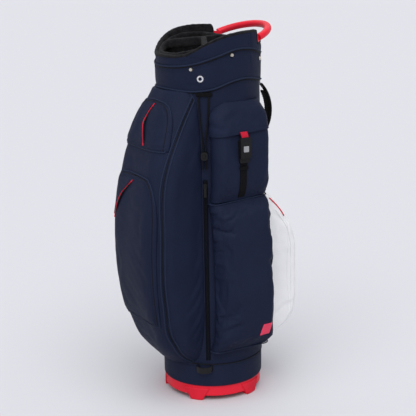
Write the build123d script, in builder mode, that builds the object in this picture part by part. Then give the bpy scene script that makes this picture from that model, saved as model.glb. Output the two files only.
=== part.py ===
from build123d import *
import os
from math import cos, pi, radians, sin, tan

# Golf staff bag, millimetres. The barrel's axis is Z and the floor is Z = 0. The spine, with the lift
# handle, the carry handle and the back pocket, faces +Y; the big front pod faces -Y; the side with the
# flap pocket and its buckle faces +X. Angles round the barrel are degrees from the spine towards +X.

# ---------- driving dimensions ----------

# barrel, from the inside out: lining, plastic shell, padded skin
LINING_IN, LINING_OUT = 110.0, 111.2
SHELL_IN, SHELL_OUT = 111.5, 113.5
SKIN_IN, SKIN_OUT = 113.7, 118.0
POCKET_IN = 118.3
SHELL_LOW, SHELL_HIGH = 38.0, 728.0
SKIN_LOW, SKIN_HIGH = 91.5, 729.0

# moulded base and its feet
TRAY_R, TRAY_LOW, TRAY_HIGH = 114.0, 12.0, 36.8
TRAY_WALL, TRAY_FLOOR = 4.0, 28.0
UPSTAND_IN, UPSTAND_OUT, UPSTAND_HIGH = 108.0, 111.3, 85.0
BAND_LOW, BAND_HIGH = 37.0, 91.0
FOOT_COUNT, FOOT_START = 5, 141.0
FOOT_TOP, FOOT_OUT, FOOT_IN = 30.0, 117.0, 94.0
FOOT_TOP_WIDTH, FOOT_TOE_WIDTH = 66.0, 29.0
PAD_LOW, PAD_HIGH = 30.5, 38.5
SCREW_R, SCREW_LOW, SCREW_INSET = 2.5, 2.0, 8.0
RIVET_Z, RIVET_R, RIVET_COUNT = 66.0, 2.0, 6

# cuff: height of each edge against Y, rising from the front to the spine
RIM = [(-130, 808), (-100, 810), (-66, 832), (-30, 849), (10, 857), (72, 858)]
UPPER_SEAM = [(-130, 781), (-98, 787), (-44, 806), (0, 820), (45, 819), (90, 807), (130, 795)]
LOWER_SEAM = [(-130, 735), (-98, 730.5), (-55, 735), (-8, 751), (20, 755), (79, 747), (130, 736)]
REAR_EDGE_Y, REAR_TOP = 68.0, 828.0
FRAME_IN, FRAME_OUT = 113.8, 116.8
CUFF_IN, BAND_R, COLLAR_R = 117.1, 121.0, 120.4
PIPING_R, PIPING_HALF = 122.4, 1.7
BINDING = 5.0
EYELET_ANGLE, EYELET_Z, EYELET_R = 128.7, 758.8, 4.0
STUDS = [(138.5, 779), (94.7, 808.5), (45.4, 792), (-45.4, 792), (-94.7, 808.5), (-138.5, 779)]

# club dividers: a padded top frame, and cloth walls that hang from it to the base pad
DIVIDER_TOP = [(-130, 800), (-59, 828), (-10, 840), (45, 841), (130, 812)]
DIVIDER_DROP, DIVIDER_BAR = 20.0, 10.0
DIVIDER_RING_IN, DIVIDER_RING_OUT = 103.0, 109.7
DIVIDER_HUB_Y, CROSS_Y, ARM_ANGLE = -10.0, 45.0, 27.0
SHEET_THICK, SHEET_LOW, SHEET_HIGH = 1.6, 41.0, 776.0

# lift handle: a half ellipse in a plane that rises towards its tip
LOOP_Y, LOOP_Z, LOOP_SLOPE = 72.0, 836.0, 19.0
LOOP_A, LOOP_B, LOOP_TRIM = 88.0, 75.0, 7.5
LOOP_WIDE, LOOP_THICK = 17.0, 15.0
LEG_START, LEG_SPAN, LEG_TOP = 51.5, 9.0, 842.0
HANDLE_SCREW_R, HANDLE_SCREW_AT, HANDLE_SCREW_LOW = 1.2, 115.3, 816.0

# front pod: height, how far it stands forward, half-width in front, half-width at the barrel, corner radius
FRONT_LEVELS = [
    (92.0, 130.0, 88.0, 66.0, 60.0),
    (130.0, 163.0, 103.0, 78.0, 55.0),
    (190.0, 187.0, 112.0, 85.0, 50.0),
    (270.0, 205.0, 115.0, 85.0, 50.0),
    (460.0, 207.0, 115.0, 85.0, 50.0),
    (560.0, 192.0, 114.0, 85.0, 50.0),
    (640.0, 168.0, 108.0, 83.0, 55.0),
    (728.0, 127.0, 90.0, 78.0, 62.0),
]
POD_WALL = 3.0
POD_SEAM = [
    (-80, 732), (-138, 640), (-176, 550), (-187, 420), (-184, 260), (-160, 160), (-122, 112), (-84, 88),
]

# pockets on the front pod: how far they stand off it, then width, bottom, top and corner radius
POUCH = 5.0
UPPER_POUCH = (190.0, 608.0, 708.0, 62.0)
LOWER_POUCH = (190.0, 196.0, 537.0, 62.0)
UPPER_TRIM = [(35, 700), (16, 674), (8, 645), (10, 614)]
LOWER_TRIM = [(-28, 512), (-58, 480), (-78, 448), (-89, 422)]
TRIM_WIDE, TRIM_PROUD = 3.0, 1.2

# side pockets: height, how far out, front corner Y, rear corner Y, corner radius
UPPER_LEVELS = [
    (489.0, 130.0, -80.0, 79.0, 18.0),
    (510.0, 139.5, -80.0, 83.0, 22.0),
    (560.0, 145.0, -79.0, 86.0, 25.0),
    (610.0, 143.5, -78.0, 86.0, 25.0),
    (650.0, 138.0, -78.0, 84.0, 25.0),
    (676.0, 130.5, -76.0, 80.0, 24.0),
    (690.0, 125.0, -73.0, 74.0, 30.0),
    (703.0, 116.5, -68.0, 66.0, 32.0),
]
UPPER_TOP = 684.0
LOWER_LEVELS = [
    (128.0, 128.0, -84.0, 87.0, 18.0),
    (146.0, 144.0, -78.0, 94.0, 26.0),
    (182.0, 150.0, -72.0, 98.0, 30.0),
    (250.0, 152.0, -71.0, 100.0, 30.0),
    (350.0, 151.0, -75.0, 100.0, 30.0),
    (430.0, 147.0, -82.0, 96.0, 28.0),
    (470.0, 138.0, -84.0, 89.0, 24.0),
    (486.0, 128.0, -84.0, 82.0, 18.0),
]
GARMENT_LEVELS = [
    (128.0, 128.0, -84.0, 87.0, 18.0),
    (150.0, 145.0, -78.0, 94.0, 26.0),
    (190.0, 151.0, -72.0, 98.0, 30.0),
    (270.0, 152.5, -72.0, 100.0, 30.0),
    (350.0, 152.5, -73.0, 100.0, 30.0),
    (430.0, 152.0, -74.0, 99.0, 30.0),
    (510.0, 150.0, -76.0, 97.0, 29.0),
    (590.0, 146.0, -78.0, 92.0, 27.0),
    (650.0, 138.0, -79.0, 86.0, 25.0),
    (705.0, 124.0, -78.0, 78.0, 18.0),
]
SIDE_BACK_X, SIDE_BACK_FRONT_Y, SIDE_BACK_REAR_Y = 60.0, -36.0, 73.0
POCKET_WALL = 2.5

# flap of the upper right pocket
FLAP_AXIS_X, FLAP_AXIS_Z = 120.0, 707.0
FLAP_IN, FLAP_OUT = 0.6, 4.4
FLAP_HEM = [(-130, 626), (-82, 630), (0, 637), (72, 643), (130, 648)]
FLAP_RETURN_X = 112.0

# buckle: a base and strap on the pocket, a cover with a push button on the flap
BUCKLE_Y, STRAP_WIDE = 2.0, 18.0
STRAP_THICK, STRAP_LOW = 1.6, 492.0
BASE_WIDE, BASE_LOW, BASE_HIGH, BASE_FACE = 25.0, 572.0, 622.0, 151.4
COVER_WIDE, COVER_LOW, COVER_HIGH, COVER_FACE = 27.0, 583.0, 630.0, 157.4
COVER_GAP = 0.4
BUTTON_WIDE, BUTTON_TALL, BUTTON_Z, BUTTON_PROUD = 13.0, 13.0, 604.0, 0.8
BUTTON_THICK, BUTTON_GAP = 3.2, 0.25
TAB_TOP, TAB_WIDE, TAB_PROUD = 641.0, 18.0, 3.6

# back pocket on the spine: height, how far back, half-width, corner radius
BACK_LEVELS = [
    (128.0, 152.0, 70.0, 22.0),
    (144.0, 178.0, 74.0, 28.0),
    (166.0, 197.0, 75.0, 30.0),
    (205.0, 204.0, 75.0, 30.0),
    (255.0, 205.5, 75.0, 30.0),
    (305.0, 205.5, 75.0, 30.0),
    (348.0, 202.5, 75.0, 30.0),
    (388.0, 190.0, 75.0, 30.0),
    (425.0, 165.0, 74.0, 28.0),
    (466.0, 131.0, 70.0, 20.0),
]

# umbrella holder in the channel beside the front pod
CHANNEL = 125.5
TAB_START, TAB_SPAN, TAB_LOW, TAB_HIGH, TAB_R = 132.0, 14.0, 719.0, 728.5, 121.8
CORD_R = 1.8
CORD_ROUTE = [(11.3, 120.3, 719), (10.0, 122.2, 685), (6.8, 124.0, 651), (2.7, 124.8, 617),
              (2.4, 125.0, 584), (3.8, 125.3, 557)]
LOCK_Z, LOCK_R, LOCK_WIDE, LOCK_DEEP, LOCK_TALL = 588.0, 125.0, 15.0, 12.0, 18.0
SLOT_WIDE, SLOT_DEEP = 11.4, 5.0
PLUNGER_R, PLUNGER_PROUD = 3.4, 4.5
TIP_ANGLE, TIP_LOW, TIP_HIGH = 130.0, 76.0, 90.0
TIP_WIDE, TIP_DEEP, TIP_WALL = 38.0, 20.0, 3.0

# zips in the two channels
ZIP_LOW, ZIP_HIGH, ZIP_SPAN = 103.0, 532.0, 5.0
TAPE_OUT = 119.6
SLIDER_Z, SLIDER_TALL, SLIDER_WIDE, SLIDER_OUT = 518.0, 12.0, 8.0, 125.0
PULL_PIN = 3.9
PULL_LONG, PULL_WIDE, PULL_THICK = 26.0, 6.0, 1.6

# carry handle: an arc standing off the spine, in the plane X = 0
GRIP_Y, GRIP_Z, GRIP_OUT = 80.7, 658.0, 90.0
WEB_THICK, WEB_WIDE, WEB_HALF = 2.5, 16.0, 46.0
PAD_THICK, PAD_WIDE, PAD_HALF = 7.3, 28.0, 33.0
RING_R, RING_WIRE = 9.5, 1.5
RING_Y, RING_HEIGHTS = 132.5, (724.0, 592.0)
EYE_WIDE, EYE_DEEP, EYE_TALL, EYE_WALL = 10.0, 10.5, 9.0, 1.4

# loop for a towel's clip, on the cuff under the lift handle
TOWEL_Z, TOWEL_HIGH, TOWEL_OUT, TOWEL_WIRE = 809.0, 9.0, 9.0, 1.2

# strap ring on the cuff, hanging from a webbing tab
STRAP_RING_Z, STRAP_RING_Y = 782.0, 125.0
STRAP_RING_WIDE, STRAP_RING_TALL, STRAP_RING_WIRE = 34.0, 22.0, 1.7
STRAP_TAB_WIDE, STRAP_TAB_WALL, STRAP_TAB_GAP = 20.0, 1.3, 0.6

# patch on the lower right pocket
PATCH_Y, PATCH_Z, PATCH_WIDE, PATCH_TALL, PATCH_SLANT = 53.0, 173.0, 26.0, 26.0, 10.0

FAR = 260.0
TOUCH = 0.05


# ---------- shared shapes ----------

def outward(angle, radius, height):
    """Plane that faces out from the barrel's axis, with its own Y upwards."""
    away = Vector(sin(radians(angle)), cos(radians(angle)), 0)
    return Plane(
        origin=away * radius + Vector(0, 0, height),
        x_dir=(-cos(radians(angle)), sin(radians(angle)), 0),
        z_dir=away,
    )


def ring(inner, outer, low, high, start=0.0, span=360.0):
    """Ring round the barrel's axis, or the sector of it that runs back from a start angle."""
    angle = radians(start)
    section = Plane(origin=(0, 0, 0), x_dir=(sin(angle), cos(angle), 0), z_dir=(cos(angle), -sin(angle), 0))
    with BuildPart() as form:
        with BuildSketch(section):
            with Locations(((inner + outer) / 2, (low + high) / 2)):
                Rectangle(outer - inner, high - low)
        revolve(axis=Axis.Z, revolution_arc=span)
    return form.part


def below(edge, lift=0.0, floor=600.0):
    """Everything under a height that changes with Y."""
    first, last = edge[0], edge[-1]
    with BuildPart() as form:
        with BuildSketch(Plane.YZ):
            with BuildLine():
                Spline([(y, z + lift) for y, z in edge])
                Polyline(
                    (last[0], last[1] + lift), (last[0], floor),
                    (first[0], floor), (first[0], first[1] + lift),
                )
            make_face()
        extrude(amount=FAR, both=True)
    return form.part


def behind_collar(lift=0.0, inset=0.0):
    """Space above the low rear part of the collar, where the lift handle comes out."""
    with BuildPart() as form:
        with Locations((0, REAR_EDGE_Y - inset, REAR_TOP + lift)):
            Box(FAR, FAR, FAR, align=(Align.CENTER, Align.MIN, Align.MIN))
    return form.part


def drum(radius):
    """Solid cylinder on the barrel's axis, taller than the bag."""
    with BuildPart() as form:
        Cylinder(radius, 2000)
    return form.part


def front_form(grow):
    """Outer form of the front pod, grown outwards."""
    with BuildPart() as form:
        for height, depth, half_front, half_back, corner in FRONT_LEVELS:
            with BuildSketch(Plane.XY.offset(height)) as level:
                Polygon(
                    (-half_back, -40), (-half_front - grow, -depth - grow),
                    (half_front + grow, -depth - grow), (half_back, -40),
                    align=None,
                )
                fillet(level.vertices().group_by(Axis.Y)[0], corner + grow)
        loft()
        add(drum(POCKET_IN), mode=Mode.SUBTRACT)
    return form.part


def side_form(levels, grow):
    """Outer form of a pocket on the +X side, grown outwards."""
    with BuildPart() as form:
        for height, out, front_y, rear_y, corner in levels:
            with BuildSketch(Plane.XY.offset(height)) as level:
                Polygon(
                    (SIDE_BACK_X, SIDE_BACK_FRONT_Y - grow), (out + grow, front_y - grow),
                    (out + grow, rear_y + grow), (SIDE_BACK_X, SIDE_BACK_REAR_Y + grow),
                    align=None,
                )
                fillet(level.vertices().group_by(Axis.X)[-1], corner + grow)
        loft()
        add(drum(POCKET_IN), mode=Mode.SUBTRACT)
    return form.part


def back_form(grow):
    """Outer form of the back pocket, grown outwards."""
    with BuildPart() as form:
        for height, out, half, corner in BACK_LEVELS:
            with BuildSketch(Plane.XY.offset(height)) as level:
                with Locations((0, 80)):
                    Rectangle(2 * (half + grow), out + grow - 80, align=(Align.CENTER, Align.MIN))
                fillet(level.vertices().group_by(Axis.Y)[-1], corner + grow)
        loft()
        add(drum(POCKET_IN), mode=Mode.SUBTRACT)
    return form.part


def arch(width, low, high, corner):
    """Arch-topped block that runs forward through the front pod."""
    with BuildPart() as form:
        with BuildSketch(Plane.XZ) as outline:
            with Locations((0, low)):
                Rectangle(width, high - low, align=(Align.CENTER, Align.MIN))
            fillet(outline.vertices().group_by(Axis.Y)[-1], corner)
        extrude(amount=FAR)
    return form.part


def side_seam():
    """Bead that follows the seam between the pod's front panel and its side gussets."""
    with BuildPart() as form:
        with BuildSketch(Plane.YZ):
            with BuildLine():
                Spline(POD_SEAM)
            trace(line_width=4)
        extrude(amount=FAR, both=True)
    return form.part


def gusset_side():
    """Everything between the pod's side seam and the barrel."""
    with BuildPart() as form:
        with BuildSketch(Plane.YZ):
            with BuildLine():
                Spline(POD_SEAM)
                Polyline(POD_SEAM[-1], (0, POD_SEAM[-1][1]), (0, POD_SEAM[0][1]), POD_SEAM[0])
            make_face()
        extrude(amount=FAR, both=True)
    return form.part


def side_block(low, high, wide, middle):
    """Upright block that reaches out on the +X side."""
    with BuildPart() as form:
        with Locations((80, middle, (low + high) / 2)):
            Box(FAR, wide, high - low, align=(Align.MIN, Align.CENTER, Align.CENTER))
    return form.part


parts = {}


def keep(name, part):
    """Label a finished piece and put it with the others."""
    part.label = name
    parts[name] = part


# ---------- base ----------

with BuildPart() as rivet_holes:
    for index in range(RIVET_COUNT):
        with BuildSketch(outward(index * 360 / RIVET_COUNT, UPSTAND_IN - 2, RIVET_Z)):
            Circle(RIVET_R)
        extrude(amount=10)

with BuildPart() as base_tray:
    add(ring(TRAY_R - TRAY_WALL, TRAY_R, TRAY_LOW, TRAY_HIGH))
    add(ring(0, TRAY_R - TRAY_WALL, TRAY_FLOOR - TRAY_WALL, TRAY_FLOOR))
    add(ring(UPSTAND_IN, UPSTAND_OUT, TRAY_FLOOR - TRAY_WALL, UPSTAND_HIGH))
    with PolarLocations(FOOT_IN + SCREW_INSET, FOOT_COUNT, start_angle=90 - FOOT_START):
        Cylinder(SCREW_R, 100, mode=Mode.SUBTRACT)
    add(rivet_holes.part, mode=Mode.SUBTRACT)
keep("base_tray", base_tray.part)

with BuildPart() as base_feet:
    for index in range(FOOT_COUNT):
        with BuildSketch(outward(FOOT_START + index * 360 / FOOT_COUNT, FOOT_IN, 0)) as lug:
            Polygon(
                (-FOOT_TOE_WIDTH / 2, 0), (FOOT_TOE_WIDTH / 2, 0),
                (FOOT_TOP_WIDTH / 2, FOOT_TOP), (-FOOT_TOP_WIDTH / 2, FOOT_TOP),
                align=None,
            )
        extrude(amount=40)
    add(ring(0, FOOT_OUT, -1, FOOT_TOP + 1), mode=Mode.INTERSECT)
    add(ring(0, TRAY_R + TOUCH, TRAY_LOW - 0.1, FOOT_TOP + 2), mode=Mode.SUBTRACT)
    with PolarLocations(FOOT_IN + SCREW_INSET, FOOT_COUNT, start_angle=90 - FOOT_START):
        Cylinder(SCREW_R, 100, mode=Mode.SUBTRACT)
keep("base_feet", base_feet.part)

with BuildPart() as base_screws:
    with Locations((0, 0, SCREW_LOW)):
        with PolarLocations(FOOT_IN + SCREW_INSET, FOOT_COUNT, start_angle=90 - FOOT_START):
            Cylinder(SCREW_R - TOUCH, TRAY_FLOOR, align=(Align.CENTER, Align.CENTER, Align.MIN))
keep("base_screws", base_screws.part)

keep("base_pad", ring(0, UPSTAND_IN - 1, PAD_LOW, PAD_HIGH))
keep("bottom_band", ring(SKIN_IN, SKIN_OUT, BAND_LOW, BAND_HIGH))

with BuildPart() as shell_rivets:
    for index in range(RIVET_COUNT):
        with BuildSketch(outward(index * 360 / RIVET_COUNT, UPSTAND_IN - 1, RIVET_Z)):
            Circle(RIVET_R - TOUCH)
        extrude(amount=SHELL_OUT - UPSTAND_IN + 1)
keep("shell_rivets", shell_rivets.part)

# ---------- barrel ----------

with BuildPart() as barrel_shell:
    add(ring(SHELL_IN, SHELL_OUT, SHELL_LOW, SHELL_HIGH))
    add(rivet_holes.part, mode=Mode.SUBTRACT)
keep("barrel_shell", barrel_shell.part)

keep("barrel_lining", ring(LINING_IN, LINING_OUT, UPSTAND_HIGH + 0.5, 792))

with BuildPart() as barrel_skin:
    add(ring(SKIN_IN, SKIN_OUT, SKIN_LOW, SKIN_HIGH))
    add(ring(CUFF_IN, SKIN_OUT, SKIN_HIGH - 1, 800))
    add(below(LOWER_SEAM, -PIPING_HALF, floor=50.0), mode=Mode.INTERSECT)
keep("barrel_skin", barrel_skin.part)

# ---------- cuff ----------

with BuildPart() as eyelet_hole:
    with BuildSketch(outward(EYELET_ANGLE, SHELL_OUT - 1.5, EYELET_Z)):
        RegularPolygon(EYELET_R + 1, 12, major_radius=False)
    extrude(amount=12)

with BuildPart() as stud_holes:
    for angle, height in STUDS:
        with BuildSketch(outward(angle, SHELL_OUT, height)):
            Circle(1.6)
        extrude(amount=10)

handle_feet = [
    outward(side * (LEG_START - LEG_SPAN / 2), HANDLE_SCREW_AT, HANDLE_SCREW_LOW).origin
    for side in (-1, 1)
]
with BuildPart() as cuff_frame:
    add(ring(FRAME_IN, FRAME_OUT, 729.5, 870))
    add(below(RIM, -BINDING - 0.5), mode=Mode.INTERSECT)
    add(behind_collar(-0.5, 0.5), mode=Mode.SUBTRACT)
    add(eyelet_hole.part, mode=Mode.SUBTRACT)
    add(stud_holes.part, mode=Mode.SUBTRACT)
    with Locations(*handle_feet):
        Cylinder(HANDLE_SCREW_R, 20, align=(Align.CENTER, Align.CENTER, Align.MIN), mode=Mode.SUBTRACT)
keep("cuff_frame", cuff_frame.part)

with BuildPart() as cuff_band:
    add(ring(CUFF_IN, BAND_R, 700, 870))
    add(below(UPPER_SEAM, -PIPING_HALF), mode=Mode.INTERSECT)
    add(below(LOWER_SEAM, PIPING_HALF), mode=Mode.SUBTRACT)
    add(eyelet_hole.part, mode=Mode.SUBTRACT)
    add(stud_holes.part, mode=Mode.SUBTRACT)
keep("cuff_band", cuff_band.part)

with BuildPart() as cuff_collar:
    add(ring(CUFF_IN, COLLAR_R, 760, 870))
    add(below(RIM, -BINDING), mode=Mode.INTERSECT)
    add(below(UPPER_SEAM, PIPING_HALF), mode=Mode.SUBTRACT)
    add(behind_collar(-0.5, 0.5), mode=Mode.SUBTRACT)
keep("cuff_collar", cuff_collar.part)

with BuildPart() as collar_lining:
    add(ring(LINING_IN, FRAME_IN - 0.1, 792.5, 870))
    add(below(RIM, -BINDING), mode=Mode.INTERSECT)
    add(behind_collar(-0.5, 0.5), mode=Mode.SUBTRACT)
keep("collar_lining", collar_lining.part)

with BuildPart() as rim_binding:
    add(ring(LINING_IN, BAND_R, 780, 870))
    add(below(RIM), mode=Mode.INTERSECT)
    add(below(RIM, -BINDING + TOUCH), mode=Mode.SUBTRACT)
    add(behind_collar(-4, 0), mode=Mode.SUBTRACT)
keep("rim_binding", rim_binding.part)

with BuildPart() as cuff_piping:
    for seam in (UPPER_SEAM, LOWER_SEAM):
        bead = ring(CUFF_IN + 0.1, PIPING_R, 700, 870) & below(seam, PIPING_HALF - TOUCH)
        add(bead - below(seam, TOUCH - PIPING_HALF))
keep("cuff_piping", cuff_piping.part)

with BuildPart() as snap_studs:
    for angle, height in STUDS:
        with BuildSketch(outward(angle, FRAME_IN + 0.5, height)):
            Circle(1.5)
        extrude(amount=BAND_R - FRAME_IN)
        with BuildSketch(outward(angle, BAND_R + TOUCH, height)):
            Circle(4.5)
        extrude(amount=2.2, taper=25)
keep("snap_studs", snap_studs.part)

with BuildPart() as cuff_eyelet:
    with BuildSketch(outward(EYELET_ANGLE, FRAME_IN - 1.2, EYELET_Z)):
        Circle(EYELET_R + 0.95)
    extrude(amount=BAND_R - FRAME_IN + 1.4)
    with BuildSketch(outward(EYELET_ANGLE, BAND_R + 0.1, EYELET_Z)):
        Circle(7.2)
    extrude(amount=1.4)
    with BuildSketch(outward(EYELET_ANGLE, FRAME_IN - 3, EYELET_Z)):
        Circle(EYELET_R)
    extrude(amount=20, mode=Mode.SUBTRACT)
keep("cuff_eyelet", cuff_eyelet.part)

with BuildPart() as towel_loop:
    with BuildLine(Plane.YZ) as towel_path:
        ThreePointArc(
            (BAND_R + 0.2, TOWEL_Z - TOWEL_HIGH),
            (BAND_R + TOWEL_OUT, TOWEL_Z),
            (BAND_R + 0.2, TOWEL_Z + TOWEL_HIGH),
        )
    with BuildSketch(Plane(origin=towel_path.line @ 0, z_dir=towel_path.line % 0)):
        Circle(TOWEL_WIRE)
    sweep()
    add(drum(PIPING_R + 0.1), mode=Mode.SUBTRACT)
keep("towel_loop", towel_loop.part)

# ---------- dividers ----------

arm_turn = radians(ARM_ANGLE)
arm_ends = [(side * 106 * cos(arm_turn), DIVIDER_HUB_Y - 106 * sin(arm_turn)) for side in (-1, 1)]

def padded_top(outline):
    """Padded bar or ring with that outline seen from above, cut to the slope of the dividers' top."""
    with BuildPart() as form:
        add(outline)
        extrude(amount=170)
        add(below(DIVIDER_TOP), mode=Mode.INTERSECT)
        add(below(DIVIDER_TOP, -DIVIDER_DROP), mode=Mode.SUBTRACT)
    return form.part


with BuildSketch(Plane.XY.offset(700)) as ring_outline:
    Circle(DIVIDER_RING_OUT)
    Circle(DIVIDER_RING_IN, mode=Mode.SUBTRACT)
keep("divider_ring", padded_top(ring_outline.sketch))

with BuildSketch(Plane.XY.offset(700)) as bar_outline:
    with BuildLine():
        for end in arm_ends:
            Line((0, DIVIDER_HUB_Y), end)
        Line((0, DIVIDER_HUB_Y), (0, 106))
        Line((-104, CROSS_Y), (104, CROSS_Y))
    trace(line_width=DIVIDER_BAR)
    Circle(DIVIDER_RING_IN - TOUCH, mode=Mode.INTERSECT)
keep("divider_bars", padded_top(bar_outline.sketch))

with BuildPart() as divider_sheets:
    for side in (-1, 1):
        arm_plane = Plane(
            origin=(0, DIVIDER_HUB_Y, (SHEET_LOW + SHEET_HIGH) / 2),
            x_dir=(side * cos(arm_turn), -sin(arm_turn), 0), z_dir=(0, 0, 1),
        )
        with Locations(arm_plane):
            with Locations((4, 0, 0)):
                Box(97, SHEET_THICK, SHEET_HIGH - SHEET_LOW, align=(Align.MIN, Align.CENTER, Align.CENTER))
        with Locations((side * 3, CROSS_Y, (SHEET_LOW + SHEET_HIGH) / 2)):
            Box(
                93, SHEET_THICK, SHEET_HIGH - SHEET_LOW,
                align=(Align.MAX if side < 0 else Align.MIN, Align.CENTER, Align.CENTER),
            )
    with Locations((0, DIVIDER_HUB_Y + 3, (SHEET_LOW + SHEET_HIGH) / 2)):
        Box(SHEET_THICK, 110, SHEET_HIGH - SHEET_LOW, align=(Align.CENTER, Align.MIN, Align.CENTER))
keep("divider_sheets", divider_sheets.part)

# ---------- lift handle ----------

loop_plane = Plane(
    origin=(0, LOOP_Y, LOOP_Z), x_dir=(1, 0, 0),
    z_dir=(0, -sin(radians(LOOP_SLOPE)), cos(radians(LOOP_SLOPE))),
)
with BuildPart() as lift_handle:
    with BuildLine(loop_plane) as loop_path:
        EllipticalCenterArc((0, 0), LOOP_A, LOOP_B, start_angle=LOOP_TRIM, arc_size=180 - 2 * LOOP_TRIM)
    with BuildSketch(Plane(origin=loop_path.line @ 0, x_dir=(1, 0, 0), z_dir=loop_path.line % 0)):
        RectangleRounded(LOOP_WIDE, LOOP_THICK, LOOP_THICK / 2 - 0.6)
    sweep()
    for start in (LEG_START, LEG_SPAN - LEG_START):
        add(ring(LINING_IN + 1, BAND_R - 1, REAR_TOP + 0.3, LEG_TOP, start, LEG_SPAN))
    with Locations(*handle_feet):
        Cylinder(HANDLE_SCREW_R, 20, align=(Align.CENTER, Align.CENTER, Align.MIN), mode=Mode.SUBTRACT)
    add(behind_collar(0.3, 0), mode=Mode.INTERSECT)
keep("lift_handle", lift_handle.part)

with BuildPart() as handle_screws:
    with Locations(*handle_feet):
        Cylinder(HANDLE_SCREW_R - TOUCH, 19, align=(Align.CENTER, Align.CENTER, Align.MIN))
keep("handle_screws", handle_screws.part)

# ---------- front pod ----------

pod_outer = front_form(0)
pod_inner = front_form(-POD_WALL)
pod_shell = pod_outer - pod_inner
pod_seam_side = gusset_side()

with BuildPart() as front_panel:
    add(pod_shell)
    add(pod_seam_side, mode=Mode.SUBTRACT)
keep("front_panel", front_panel.part)

with BuildPart() as front_gussets:
    add(pod_shell)
    add(pod_seam_side, mode=Mode.INTERSECT)
keep("front_gussets", front_gussets.part)

with BuildPart() as gusset_piping:
    add(front_form(2.4))
    add(front_form(TOUCH), mode=Mode.SUBTRACT)
    add(side_seam(), mode=Mode.INTERSECT)
keep("gusset_piping", gusset_piping.part)

pouch_layer = front_form(POUCH) - front_form(TOUCH)

with BuildPart() as front_upper_pocket:
    add(pouch_layer)
    add(arch(*UPPER_POUCH), mode=Mode.INTERSECT)
    add(side_seam(), mode=Mode.SUBTRACT)
    add(pod_seam_side, mode=Mode.SUBTRACT)
keep("front_upper_pocket", front_upper_pocket.part)

with BuildPart() as front_lower_pocket:
    add(pouch_layer)
    add(arch(*LOWER_POUCH), mode=Mode.INTERSECT)
    add(side_seam(), mode=Mode.SUBTRACT)
    add(pod_seam_side, mode=Mode.SUBTRACT)
keep("front_lower_pocket", front_lower_pocket.part)

# red edging of the two quick-access slots on the front pockets
with BuildPart() as front_trim:
    with BuildSketch(Plane.XZ):
        with BuildLine():
            Spline(UPPER_TRIM)
            Spline(LOWER_TRIM)
        trace(line_width=TRIM_WIDE)
    extrude(amount=FAR)
    add(front_form(POUCH + TRIM_PROUD), mode=Mode.INTERSECT)
    add(front_form(POUCH + TOUCH), mode=Mode.SUBTRACT)
    with Locations((0, -130, 500)):
        Box(FAR, 200, 2 * FAR, align=(Align.CENTER, Align.MAX, Align.CENTER), mode=Mode.INTERSECT)
keep("front_trim", front_trim.part)

# ---------- right side ----------

upper_outer = side_form(UPPER_LEVELS, 0)
lower_outer = side_form(LOWER_LEVELS, 0)

# the upper pocket is open along its top, under the flap
with BuildPart() as right_upper_pocket:
    add(upper_outer)
    add(side_block(400, UPPER_TOP, 400, 0), mode=Mode.INTERSECT)
    add(side_form(UPPER_LEVELS, -POCKET_WALL) & side_block(493, 700, 400, 0), mode=Mode.SUBTRACT)
keep("right_upper_pocket", right_upper_pocket.part)

with BuildPart() as right_lower_pocket:
    add(lower_outer)
    add(side_form(LOWER_LEVELS, -POCKET_WALL) & side_block(132, 482, 400, 0), mode=Mode.SUBTRACT)
keep("right_lower_pocket", right_lower_pocket.part)


def skin_patch(levels, block, thickness, gap=TOUCH):
    """Thin layer of a side pocket's outer face, where a block crosses it."""
    layer = side_form(levels, gap + thickness) - side_form(levels, gap)
    return layer & block


def side_prism(points):
    """Prism that runs out on the +X side, from an outline in Y and Z."""
    with BuildPart() as form:
        with BuildSketch(Plane.YZ.offset(SIDE_BACK_X + 20)):
            Polygon(*points, align=None)
        extrude(amount=FAR)
    return form.part


with BuildPart() as right_flap:
    add(side_form(UPPER_LEVELS, FLAP_OUT))
    add(side_form(UPPER_LEVELS, FLAP_IN), mode=Mode.SUBTRACT)
    add(below(FLAP_HEM, floor=400.0), mode=Mode.SUBTRACT)
    with Locations((FLAP_RETURN_X, 0, 650)):
        Box(FAR, FAR, FAR, align=(Align.MIN, Align.CENTER, Align.CENTER), mode=Mode.INTERSECT)
keep("right_flap", right_flap.part)

# webbing strap up the middle of the upper pocket, and the keeper that holds its tail
strap_run = side_block(STRAP_LOW, BASE_LOW - 1, STRAP_WIDE, BUCKLE_Y)
keep("buckle_strap", skin_patch(UPPER_LEVELS, strap_run, STRAP_THICK))

with BuildPart() as strap_keeper:
    with Locations((143, BUCKLE_Y, 560)):
        Box(12, STRAP_WIDE + 4, 8)
    add(side_form(UPPER_LEVELS, STRAP_THICK + 2.4), mode=Mode.INTERSECT)
    add(side_form(UPPER_LEVELS, STRAP_THICK + 2 * TOUCH), mode=Mode.SUBTRACT)
keep("strap_keeper", strap_keeper.part)

with BuildPart() as buckle_base:
    with Locations((BASE_FACE, BUCKLE_Y, (BASE_LOW + BASE_HIGH) / 2)):
        Box(12, BASE_WIDE, BASE_HIGH - BASE_LOW, align=(Align.MAX, Align.CENTER, Align.CENTER))
    fillet(buckle_base.edges().filter_by(Axis.X), 3)
    add(side_form(UPPER_LEVELS, TOUCH), mode=Mode.SUBTRACT)
keep("buckle_base", buckle_base.part)

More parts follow.
